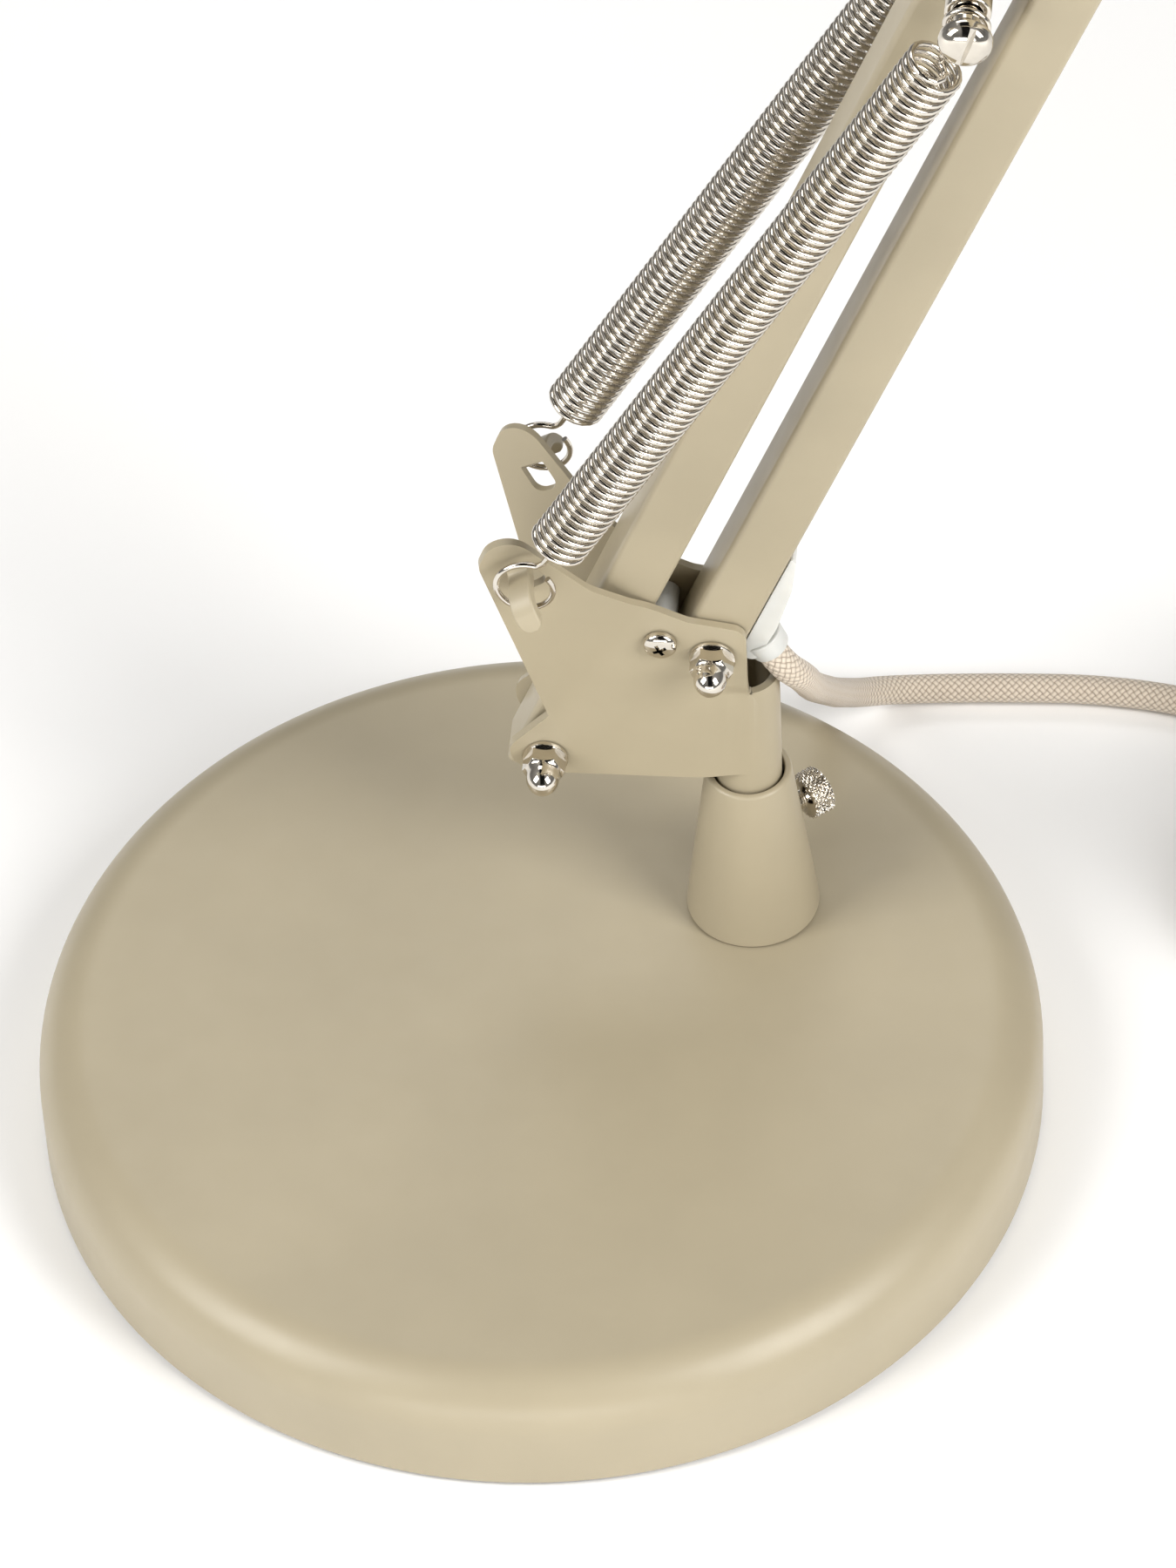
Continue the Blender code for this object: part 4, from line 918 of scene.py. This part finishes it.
def domedPin(name, spot, body, node):
    half = [(0, seat + 0.0026)]
    half += [(0.0040 * math.cos(t), seat + 0.0006 + 0.0020 * math.sin(t))
             for t in (math.radians(9 * k) for k in range(10))][::-1]
    half += [(0.0040, seat + 0.0001), (0.0039, seat), (0.0020, seat)]
    form = bmesh.new()
    lathe(form, half + [(radius, -height) for radius, height in reversed(half)], acrossArms(spot), 48)
    settle(meshObject(form, name), body, "bright_nickel", nickel, node)


def sidePlate(name, corners, holes, side, body, node):
    loops = [soften(corners, 10)] + [circlePoints(x, z, radius) for x, z, radius in holes]
    middle = lampPlan["cheekOut"] - lampPlan["sheet"] / 2
    form = bmesh.new()
    plate(form, loops, lampPlan["sheet"], acrossArms((0, 0, 0), side * middle))
    cheek = meshObject(form, name)
    bevelEdges(cheek, 0.00045, 3)
    settle(cheek, body, "putty_paint", paint, node)


def makeElbow():
    main = pivot("elbow_level")
    link = besideArm(pivot("lower_link_lean"), lampPlan["lowerTilt"], lampPlan["lowerLength"])
    upperMain, upperLink, bar = (pivot("upper_arm_lift"), pivot("upper_link_lift"),
                                 pivot("upper_springs_swing"))
    corners = [
        (link.x - 0.011, link.z - 0.006, 0.007), (link.x, link.z - 0.014, 0.008),
        (main.x + 0.010, main.z - 0.012, 0.010), (main.x + 0.010, main.z + 0.014, 0.010),
        (upperLink.x + 0.011, upperLink.z + 0.004, 0.010), (bar.x + 0.010, bar.z - 0.006, 0.006),
        (bar.x + 0.006, bar.z + 0.010, 0.007), (bar.x - 0.009, bar.z + 0.006, 0.007),
        (upperLink.x - 0.010, upperLink.z + 0.006, 0.008), (upperMain.x - 0.010, upperMain.z - 0.002, 0.008)]
    holes = ([(spot.x, spot.z, 0.0023) for spot in (main, link, upperMain, upperLink)]
             + [(bar.x, bar.z, 0.0043)])
    sidePlate("elbow_cheek_front", corners, holes, -1, "elbow", "elbow_plate_front")
    sidePlate("elbow_cheek_rear", corners, holes, 1, "elbow", "elbow_plate_rear")
    for name, spot in (("elbow_pin_main", main), ("elbow_pin_link", link), ("upper_pin_main", upperMain),
                       ("upper_pin_link", upperLink)):
        domedPin(name + "_domed", spot, "elbow", name)
    makeCrossbar(bar, "elbow_bar", "elbow", ["elbow_crossbar"], False)


shadeSet = {
    "radius": 0.075, "length": 0.105, "wall": 0.0010, "top": -0.0730,
    "swell": [(0.0240, 0.0), (0.0290, -0.0040), (0.0370, -0.0140), (0.0470, -0.0300), (0.0570, -0.0500),
              (0.0660, -0.0730), (0.0715, -0.0920), (0.0750, -0.1050)],
    "cupTop": -0.0200, "cupRadius": 0.0230, "cupLength": 0.052,
}
knobSet = {"radius": 0.0085, "lobes": 8, "lobe": 0.0006}


def shadeFrame():
    tilt = math.radians(lampPlan["shadeTilt"])
    spot = pivot("shade_tilt")
    return frameAt((spot.x, armY, spot.z), (math.cos(tilt), 0, math.sin(tilt)), (0, 1, 0))


def makeHead():
    main = pivot("head_level")
    link = besideArm(pivot("upper_link_lift"), lampPlan["upperTilt"], lampPlan["upperLength"])
    tilt = pivot("shade_tilt")
    corners = [(main.x + 0.010, main.z - 0.006, 0.008), (link.x + 0.010, link.z + 0.004, 0.009),
               (link.x - 0.004, link.z + 0.012, 0.009), (tilt.x - 0.010, tilt.z + 0.006, 0.010),
               (tilt.x - 0.004, tilt.z - 0.013, 0.009)]
    holes = [(main.x, main.z, 0.0023), (link.x, link.z, 0.0023), (tilt.x, tilt.z, 0.0028)]
    sidePlate("head_cheek_front", corners, holes, -1, "head", "head_plate_front")
    sidePlate("head_cheek_rear", corners, holes, 1, "head", "head_plate_rear")
    domedPin("head_pin_main_domed", main, "head", "head_pin_main")
    domedPin("head_pin_link_domed", link, "head", "head_pin_link")

    place, radius = acrossArms(tilt), knobSet["radius"]
    profile = soften([(0, seat + 0.0113, 0), (0.0050, seat + 0.0113, 0.0006), (0.0058, seat + 0.0120, 0.0005),
                      (0.0072, seat + 0.0120, 0.0012), (radius, seat + 0.0100, 0.0010),
                      (radius, seat + 0.0030, 0.0010), (0.0068, seat + 0.0008, 0.0006),
                      (0.0068, seat, 0.0002),
                      (0.0025, seat, 0), (0.0025, -seat - 0.0006, 0), (0.0044, -seat - 0.0006, 0.0002),
                      (0.0044, -seat - 0.0030, 0.0006), (0, -seat - 0.0030, 0)], 5, closed=False)
    form = bmesh.new()
    lathe(form, profile, place, 128)
    back = place.inverted()
    for vert in form.verts:
        local = back @ vert.co
        reach = math.hypot(local.x, local.y)
        if local.z > seat + 0.0015 and reach > 0.0060:
            wave = math.cos(knobSet["lobes"] * math.atan2(local.y, local.x))
            share = 1 - knobSet["lobe"] * (1 - wave) / reach
            vert.co = place @ Vector((local.x * share, local.y * share, local.z))
    settle(meshObject(form, "tilt_hand_knob"), "tilt_knob", "black_plastic", black, "tilt_knob")


def makeShade():
    place, plan = shadeFrame(), shadeSet
    wall, cupTop, cup = plan["wall"], plan["cupTop"], plan["cupRadius"]
    form = bmesh.new()
    outline = soften([(-0.0080, 0.0080, 0.0078), (0.0080, 0.0080, 0.0078), (0.0080, -0.0215, 0),
                      (-0.0080, -0.0215, 0)], 12)
    plate(form, [outline, circlePoints(0, 0, 0.0028)], 0.0100, place @ Matrix.Rotation(math.pi / 2, 4, "X"))
    stem = meshObject(form, "shade_neck")
    bevelEdges(stem, 0.0008, 3)
    settle(stem, "shade", "putty_paint", paint)
    form = bmesh.new()
    foot = cupTop - plan["cupLength"]
    lathe(form, soften([(0.0030, cupTop, 0), (cup, cupTop, 0.0045), (cup, foot, 0.0004),
                        (cup - wall, foot, 0.0003),
                        (cup - wall, cupTop - wall, 0.0036), (0.0030, cupTop - wall, 0)], 8),
          place, 96, closed=True)
    shell = meshObject(form, "shade_cup")
    hole = bmesh.new()
    side = place @ Matrix.Translation((0, 0, cupTop - 0.026)) @ Matrix.Rotation(-math.pi / 2, 4, "Y")
    bmesh.ops.create_cone(hole, cap_ends=True, segments=32, radius1=0.0045, radius2=0.0045, depth=0.015,
                          matrix=side @ Matrix.Translation((0, 0, 0.0225)))
    carve(shell, meshObject(hole, "switch_hole"))
    settle(shell, "shade", "putty_paint", paint, "shade_stem")
    form = bmesh.new()
    for k in range(5):   # raised ribs round the cup
        height = foot + 0.006 + 0.0045 * k
        lathe(form, [(cup - 0.0002, height + 0.0009), (cup + 0.0003, height + 0.0005),
                     (cup + 0.0003, height - 0.0005), (cup - 0.0002, height - 0.0009)], place, 96,
                     closed=True)
    settle(meshObject(form, "shade_cup_ribs"), "shade", "putty_paint", paint)

    top = plan["top"]
    knots = [(radius, 0, top + height) for radius, height in plan["swell"]]
    outer = [(p.x, p.z) for p in smoothRoute(knots, 0.003)]
    inner = []
    for i, (radius, height) in enumerate(outer):
        before, after = Vector(outer[max(i - 1, 0)]), Vector(outer[min(i + 1, len(outer) - 1)])
        along = (after - before).normalized()
        inner.append((radius + along.y * wall, height - along.x * wall))
    inner[0] = (0.0240 - wall, top - wall)
    inner[-1] = (outer[-1][0] - wall, outer[-1][1])
    rim = [(outer[-1][0] - 0.0002, outer[-1][1] - 0.0002),
           (outer[-1][0] - wall + 0.0002, outer[-1][1] - 0.0002)]
    profile = [(0.0170, top), *outer, *rim, *inner[::-1], (0.0170, top - wall)]
    form = bmesh.new()
    lathe(form, profile, place, 160, closed=True)
    shade = meshObject(form, "bell_shade", 40)
    settle(shade, "shade", "shade_paint", [paint, shadeWhite], "shade")
    back = place.inverted()
    for face in shade.data.polygons:   # the inside is white
        local = back @ face.center
        inward = back.to_3x3() @ face.normal
        if inward.x * local.x + inward.y * local.y + inward.z * 0.02 < 0 and local.z < top - 0.0005:
            face.material_index = 1
    form = bmesh.new()
    holderTop = cupTop - 0.0016
    rings = []
    for k in range(6):
        height = top - 0.0085 + 0.0030 * k
        rings += [(0.0165, height - 0.0010), (0.0160, height - 0.0007), (0.0160, height + 0.0007),
                  (0.0165, height + 0.0010)]
    profile = [(0, holderTop), (0.0160, holderTop), (0.0165, holderTop - 0.0006), *reversed(rings),
               (0.0165, top - 0.0115), (0.0160, top - 0.0120), (0.0140, top - 0.0120), (0.0140, top + 0.014),
               (0, top + 0.014)]
    lathe(form, profile, place, 72)
    settle(meshObject(form, "screw_lampholder"), "shade", "black_plastic", black, "lamp_holder")

    neck = top + 0.0130
    knots = [(0.0130, 0, 0.0), (0.0131, 0, -0.012), (0.0133, 0, -0.024), (0.0160, 0, -0.034),
             (0.0235, 0, -0.048),
             (0.0290, 0, -0.062), (0.0295, 0, -0.072), (0.0255, 0, -0.086), (0.0150, 0, -0.096),
             (0.0, 0, -0.099)]
    skin = [(max(p.x, 0.0), neck + p.z) for p in smoothRoute(knots, 0.0022)]
    skin[-1] = (0, neck - 0.099)
    form = bmesh.new()
    lathe(form, [(0, neck)] + skin, place, 80)
    settle(meshObject(form, "frosted_bulb"), "shade", "frosted_glass", glass, "bulb")
    form = bmesh.new()
    thread = [(0.01335 + 0.0003 * (k % 2), neck - 0.0020 - 0.0012 * k) for k in range(12)]
    lathe(form, [(0.0130, neck - 0.001)] + thread + [(0.0130, neck - 0.0170)], place, 64, closed=True)
    settle(meshObject(form, "bulb_cap"), "shade", "bright_nickel", brass)
    form = bmesh.new()
    face = cup + 0.0035
    lathe(form, soften([(0, face - 0.0004, 0), (0.0020, face - 0.0003, 0.0010), (0.0030, face, 0.0006),
                        (0.0041, face - 0.0002, 0.0010), (0.0041, 0.0213, 0.0001), (0.0053, 0.0213, 0.0002),
                        (0.0053, 0.0197, 0.0002), (0, 0.0197, 0)], 5, closed=False), side, 56)
    settle(meshObject(form, "switch_cap"), "switch", "black_plastic", black, "switch_button")
    form = bmesh.new()
    lathe(form, soften([(0.0044, cup - 0.0006, 0), (0.0060, cup - 0.0006, 0), (0.0058, cup + 0.0010, 0.0004),
                        (0.0047, cup + 0.0010, 0.0003)], 4), side, 56, closed=True)
    settle(meshObject(form, "switch_collar"), "shade", "bright_nickel", nickel)


# cords and plug

cordSet = {
    "radius": 0.0029, "length": 1.8, "firstAngle": 88.0, "centre": (0.1780, 0.0480),
    "rings": (0.0398, 0.0339, 0.0280), "floor": 0.0031, "layer": 0.0059,
    "turns": ((0, 0), (1, 0), (2, 0), (2, 1), (1, 1), (0, 1), (0, 2)), "lastShare": 0.60,
    "perTurn": 40, "sides": 20,
    "bridge": 0.024, "bridgeSteps": 8,   # from the coil up to the plug
}
plugSet = {"at": (0.1640, 0.0785, 0.0244), "turn": 25.0}
cordRoute = [Vector(p) for p in [
    (0.0420, 0.0276, 0.0995), (0.0441, 0.0270, 0.0955), (0.0465, 0.0277, 0.0910), (0.0483, 0.0310, 0.0855),
    (0.0490, 0.0376, 0.0769), (0.0490, 0.0474, 0.0650), (0.0492, 0.0587, 0.0520), (0.0498, 0.0702, 0.0390),
    (0.0506, 0.0805, 0.0273), (0.0519, 0.0895, 0.0175), (0.0544, 0.0967, 0.0099), (0.0585, 0.1016, 0.0054),
    (0.0643, 0.1041, 0.0034), (0.0720, 0.1051, 0.0030), (0.0850, 0.1058, 0.0030), (0.1000, 0.1060, 0.0030),
    (0.1150, 0.1043, 0.0030), (0.1300, 0.1003, 0.0030), (0.1450, 0.0952, 0.0030), (0.1585, 0.0915, 0.0030)]]


def coilPoints():
    plan = cordSet
    points = []
    for number, (ring, layer) in enumerate(plan["turns"]):
        nextRing, nextLayer = plan["turns"][min(number + 1, len(plan["turns"]) - 1)]
        for k in range(plan["perTurn"]):
            share = k / plan["perTurn"]
            if number == len(plan["turns"]) - 1 and share > plan["lastShare"]:
                break
            radius = (plan["rings"][ring]
                      + (plan["rings"][nextRing] - plan["rings"][ring]) * eased((share - 0.84) / 0.16))
            climb = layer + (nextLayer - layer) * eased((share - 0.62) / 0.22)
            angle = math.radians(plan["firstAngle"]) - 2 * math.pi * (number + share)
            points.append(Vector((plan["centre"][0] + radius * math.cos(angle),
                                  plan["centre"][1] + radius * math.sin(angle),
                                  plan["floor"] + plan["layer"] * climb)))
    return points


def plugFrame():
    turn = math.radians(plugSet["turn"])
    return frameAt(plugSet["at"], (math.cos(turn), math.sin(turn), 0), (-math.sin(turn), math.cos(turn), 0))


def makePlug():
    place = plugFrame()
    outline = soften([(-0.0070, -0.0050, 0.002), (-0.0030, -0.0118, 0.005), (0.0148, -0.0123, 0.003),
                      (0.0148, 0.0123, 0.003), (-0.0030, 0.0118, 0.005), (-0.0070, 0.0050, 0.002)], 8)
    form = bmesh.new()
    plate(form, [outline], 0.0124, place)
    body = meshObject(form, "plug_body")
    bevelEdges(body, 0.0030, 6, 40)
    settle(body, "base", "plug_plastic", plugPlastic, "plug")
    form = bmesh.new()
    sleeve = [(0.0031, -0.0240), (0.0036, -0.0242)]
    for k in range(6):   # a ribbed sleeve that keeps the cord from bending at the plug
        height, radius = -0.0236 + 0.0026 * k, 0.0036 + 0.00035 * k
        sleeve += [(radius, height), (radius + 0.0001, height + 0.0014), (radius - 0.0005, height + 0.0016),
                   (radius - 0.0005, height + 0.0024)]
    sleeve += [(0.0060, -0.0070), (0.0060, -0.0040), (0.0031, -0.0040)]
    along = place @ Matrix.Rotation(math.pi / 2, 4, "Y")
    lathe(form, sleeve, along, 56, closed=True)
    relief = meshObject(form, "plug_strain_relief")
    settle(relief, "base", "plug_plastic", plugPlastic)
    pins = []
    for label, offset in (("left", 0.0095), ("right", -0.0095)):
        form = bmesh.new()
        shape = along @ Matrix.Translation((0, offset, 0))
        lathe(form, soften([(0, 0.0338, 0), (0.0020, 0.0338, 0.0009), (0.0020, 0.0120, 0), (0, 0.0120, 0)], 5,
                           closed=False), shape, 40)
        pins.append(settle(meshObject(form, "plug_pin_" + label), "base", "bright_nickel", nickel))
        form = bmesh.new()
        lathe(form, soften([(0.0021, 0.0240, 0.0001), (0.0024, 0.0240, 0.0002), (0.0028, 0.0140, 0),
                            (0.0021, 0.0140, 0)], 3),
              shape, 40, closed=True)
        pins.append(settle(meshObject(form, "plug_collar_" + label), "base", "plug_plastic", plugPlastic))
    return [body, relief] + pins


def makeTie():
    centre, angle = Vector((*cordSet["centre"], 0)), math.radians(-40)
    out = Vector((math.cos(angle), math.sin(angle), 0))
    middle = centre + out * 0.0339 + Vector((0, 0, 0.0091))
    corners = [(-0.0094, -0.0086, 0.004), (0.0094, -0.0086, 0.004), (0.0094, 0.0091, 0.004),
               (-0.0094, 0.0091, 0.004)]
    place = frameAt(middle, out, (0, 0, 1))
    loops = [soften(corners, 8), soften([(a * 0.93, b * 0.93, radius) for a, b, radius in corners], 8)]
    form = bmesh.new()
    plate(form, loops, 0.0060, place)
    tie = meshObject(form, "cord_tie")
    bevelEdges(tie, 0.0002, 2)
    return settle(tie, "base", "black_plastic", black)


def makePowerCord():
    plan = cordSet
    coil = coilPoints()
    tail = plugFrame() @ Vector((-0.0215, 0, 0))
    inward = plugFrame() @ Vector((-0.0060, 0, 0))
    heading = (coil[-1] - coil[-2]).normalized()
    bridge = []
    reach = plan["bridge"]
    for k in range(1, plan["bridgeSteps"]):
        t = k / plan["bridgeSteps"]
        bridge.append(coil[-1] * (1 - t) ** 3 + (coil[-1] + heading * reach) * 3 * t * (1 - t) ** 2
                      + (tail - (inward - tail).normalized() * reach) * 3 * t * t * (1 - t) + tail * t ** 3)
    path = smoothRoute(cordRoute + coil + bridge + [tail, inward], 0.0022)
    form = bmesh.new()
    sweep(form, path, plan["radius"], plan["sides"])
    wrapCordMap(form, 2 * math.pi * plan["radius"])
    cord = meshObject(form, "braided_power_cord", 60)
    settle(cord, None, "braided_cord", braid, "power_cord", "cord_coil")
    low, high = cordRoute[8], cordRoute[0]
    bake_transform(cord, "base", "bracket", start=(pivot("swivel").x, armY, low.z + 0.004),
             end=(pivot("swivel").x, armY, high.z - 0.004))
    pieces = makePlug() + [makeTie()]


def shortCord(name, points, bodies, start, end, node=None):   # a stretch that shows between two tubes
    form = bmesh.new()
    sweep(form, smoothRoute(points, 0.0012), cordSet["radius"], cordSet["sides"])
    wrapCordMap(form, 2 * math.pi * cordSet["radius"])
    cord = meshObject(form, name, 60)
    settle(cord, None, "braided_cord", braid, *([node] if node else []))
    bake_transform(cord, *bodies, start=start, end=end)


def makeInnerCords():
    main, upperMain = pivot("elbow_level"), pivot("upper_arm_lift")

    def below(along):
        return besideArm(main, lampPlan["lowerTilt"], along)

    def above(along):
        return besideArm(upperMain, lampPlan["upperTilt"], along)

    leave, turn, enter = below(0.0094), below(0.0200), above(-0.0094)
    curve = [leave * (1 - t) ** 2 + turn * 2 * t * (1 - t) + enter * t * t
             for t in (0.0, 0.25, 0.5, 0.75, 1.0)]
    shortCord("elbow_cord_lower", [below(0.002), below(0.006)] + curve[:3], ("lower_arm", "elbow"),
              curve[0], curve[2], "elbow_cord")
    shortCord("elbow_cord_upper", curve[2:] + [above(-0.006), above(-0.002)], ("elbow", "upper_arm"),
              curve[2], curve[4])
    place = shadeFrame()
    top = [Vector((-0.1480, armY, 0.6060)), Vector((-0.1515, armY, 0.6036)), Vector((-0.1527, armY, 0.5985)),
           Vector((-0.1530, armY, 0.5920))]
    drop = [place @ Vector((0.0135, 0, -0.0110)), place @ Vector((0.0140, 0, shadeSet["cupTop"] + 0.0004)),
            place @ Vector((0.0140, 0, shadeSet["cupTop"] - 0.0020))]
    shortCord("head_cord_drop", top + drop, ("head", "shade"), top[1], drop[1], "head_cord")


# camera, light and floor

view = {
    "turn": 7.33, "height": 47.79, "roll": 3.28,   # degrees
    "distance": 1.71152, "lens": 133.333,
    "target": (0.001712, 0.078694, 0.0),
}


def makeCamera():
    az, el, roll = (math.radians(view[k]) for k in ("turn", "height", "roll"))
    back = Vector((math.sin(az) * math.cos(el), -math.cos(az) * math.cos(el), math.sin(el)))
    right = Vector((math.cos(az), math.sin(az), 0))
    up = back.cross(right)
    camRight = right * math.cos(roll) - up * math.sin(roll)
    camUp = right * math.sin(roll) + up * math.cos(roll)
    data = bpy.data.cameras.new("camera")
    data.sensor_fit = "VERTICAL"
    data.sensor_height = 24
    data.lens = view["lens"]
    data.clip_start = 0.05
    cam = bpy.data.objects.new("camera", data)
    bpy.context.scene.collection.objects.link(cam)
    place = Vector(view["target"]) + back * view["distance"]
    turn = Matrix((camRight, camUp, back)).transposed().to_4x4()
    cam.matrix_world = Matrix.Translation(place) @ turn
    bpy.context.scene.camera = cam


lightSet = {
    # name: place, aim, size, power (watts), colour
    "left": ((-1.25, -0.70, 1.20), (0.0, 0.05, 0.1), (0.8, 1.2), 24, (1.0, 0.99, 0.97)),
    "right": ((1.25, -0.75, 1.10), (0.0, 0.05, 0.1), (0.7, 1.2), 28, (1.0, 0.99, 0.97)),
    "back": ((-0.15, 1.20, 1.50), (0.0, 0.0, 0.1), (1.4, 0.5), 6, (1.0, 0.99, 0.97)),
    "front": ((0.0, -1.70, 0.30), (0.0, 0.0, 0.05), (1.8, 0.35), 10, (1.0, 0.99, 0.97)),
}


def makeLights():
    for name, (place, aim, size, power, colour) in lightSet.items():
        data = bpy.data.lights.new("light_" + name, "AREA")
        data.shape = "RECTANGLE"
        data.size, data.size_y = size
        data.energy = power
        data.color = colour
        lamp = bpy.data.objects.new("light_" + name, data)
        bpy.context.scene.collection.objects.link(lamp)
        lamp.location = place
        lamp.rotation_euler = (Vector(place) - Vector(aim)).to_track_quat("Z", "Y").to_euler()


worldSet = {"ahead": (0.0857, -0.666, 0.741), "aside": (0.9918, 0.1276, 0.0), "darkHalf": 0.30}


def makeWorld():
    world = bpy.data.worlds.new("studio")
    bpy.context.scene.world = world
    world.use_nodes = True
    tree = world.node_tree
    background = tree.nodes["Background"]
    coords = tree.nodes.new("ShaderNodeTexCoord")
    split = tree.nodes.new("ShaderNodeSeparateXYZ")
    ramp = tree.nodes.new("ShaderNodeValToRGB")
    tree.links.new(coords.outputs["Generated"], split.inputs[0])
    tree.links.new(split.outputs["Z"], ramp.inputs["Fac"])
    tree.links.new(ramp.outputs["Color"], background.inputs["Color"])
    ramp.color_ramp.elements[0].position = 0.0
    ramp.color_ramp.elements[0].color = (0.30, 0.30, 0.30, 1)
    ramp.color_ramp.elements[1].position = 1.0
    ramp.color_ramp.elements[1].color = (0.42, 0.41, 0.40, 1)
    low = ramp.color_ramp.elements.new(0.25)
    low.color = (0.20, 0.195, 0.19, 1)
    background.inputs["Strength"].default_value = 0.9
    parts = []
    for label in ("ahead", "aside"):
        aim = tree.nodes.new("ShaderNodeVectorMath")
        aim.operation = "DOT_PRODUCT"
        aim.inputs[1].default_value = worldSet[label]
        tree.links.new(coords.outputs["Generated"], aim.inputs[0])
        parts.append(aim.outputs["Value"])
    half = worldSet["darkHalf"]   # a dark strip overhead and behind the camera, which bright metal reflects
    strip = shift(tree, calc(tree, "ABSOLUTE", parts[1]), 1.0, 0.0, half * 0.85, half * 1.15)
    share = calc(tree, "MULTIPLY", strip, calc(tree, "GREATER_THAN", parts[0], 0.0))
    mix = tree.nodes.new("ShaderNodeMix")
    mix.data_type = "RGBA"
    mix.inputs["B"].default_value = (0.01, 0.01, 0.01, 1)
    tree.links.new(share, mix.inputs["Factor"])
    tree.links.new(ramp.outputs["Color"], mix.inputs["A"])
    tree.links.new(mix.outputs["Result"], background.inputs["Color"])


def makeFloor():
    grid = bmesh.new()
    bmesh.ops.create_grid(grid, x_segments=2, y_segments=2, size=6)
    mesh = bpy.data.meshes.new("floor")
    grid.to_mesh(mesh)
    grid.free()
    floor = bpy.data.objects.new("floor", mesh)
    bpy.context.scene.collection.objects.link(floor)
    floor.location.z = -0.0003
    mat = bpy.data.materials.new("floorPaper")
    mat.use_nodes = True
    shader = mat.node_tree.nodes["Principled BSDF"]
    shader.inputs["Base Color"].default_value = (0.98, 0.98, 0.98, 1)
    shader.inputs["Roughness"].default_value = 0.9
    shader.inputs["Specular IOR Level"].default_value = 0.1
    mesh.materials.append(mat)


makeCamera()
makePowerCord()
makeInnerCords()
print("camera and cords made")
makeLights()
makeWorld()
makeFloor()
makeFoot()
makePost()
print("foot and post made")
makeBracket()
makeNut("main_domed_nut", pivot("lower_arm_lean"), "main_nut")
makeNut("link_domed_nut", pivot("lower_link_lean"), "link_nut")
makeBolt("main_pivot_bolt", pivot("lower_arm_lean"), "main_bolt")
makeBolt("link_pivot_bolt", pivot("lower_link_lean"), "link_bolt")
makeStop()
print("bracket made")
makeArm("main_tube", pivot("lower_arm_lean"), lampPlan["lowerTilt"], lampPlan["lowerLength"], "lower_arm",
        "lower_arm_main", lampPlan["mainOffset"])
makeArm("link_tube", pivot("lower_link_lean"), lampPlan["lowerTilt"], lampPlan["lowerLength"], "lower_link",
        "lower_arm_link")
makeArm("upper_main_tube", pivot("upper_arm_lift"), lampPlan["upperTilt"], lampPlan["upperLength"],
        "upper_arm", "upper_arm_main")
makeArm("upper_link_tube", pivot("upper_link_lift"), lampPlan["upperTilt"], lampPlan["upperLength"],
        "upper_link", "upper_arm_link")
makeGrommet()
lowerBar = besideArm(pivot("lower_link_lean"), lampPlan["lowerTilt"], 0.2130, 0.0014)
upperBar = besideArm(pivot("upper_link_lift"), lampPlan["upperTilt"], 0.165)
makeCrossbar(lowerBar, "spring_bar", "lower_link",
             ["lower_crossbar", "lower_crossbar_screw_front", "lower_crossbar_screw_rear"], True)
makeCrossbar(upperBar, "upper_bar", "upper_link", ["upper_crossbar"], False)
makeSprings("lower_spring", pivot("lower_springs_swing"), lowerBar, (springSet["ring"], springSet["loop"]),
            (0.0120, 0.0090), ("lower_springs", "lower_spring_ends"), springWire)
makeSprings("upper_spring", pivot("upper_springs_swing"), upperBar, (springSet["loop"], springSet["loop"]),
            (0.0090, 0.0090), ("upper_springs", "upper_spring_ends"), springWire)
print("arms and springs made")
makeElbow()
makeHead()
makeShade()
print("elbow and head made")
bpy.context.scene.view_settings.view_transform = "Standard"
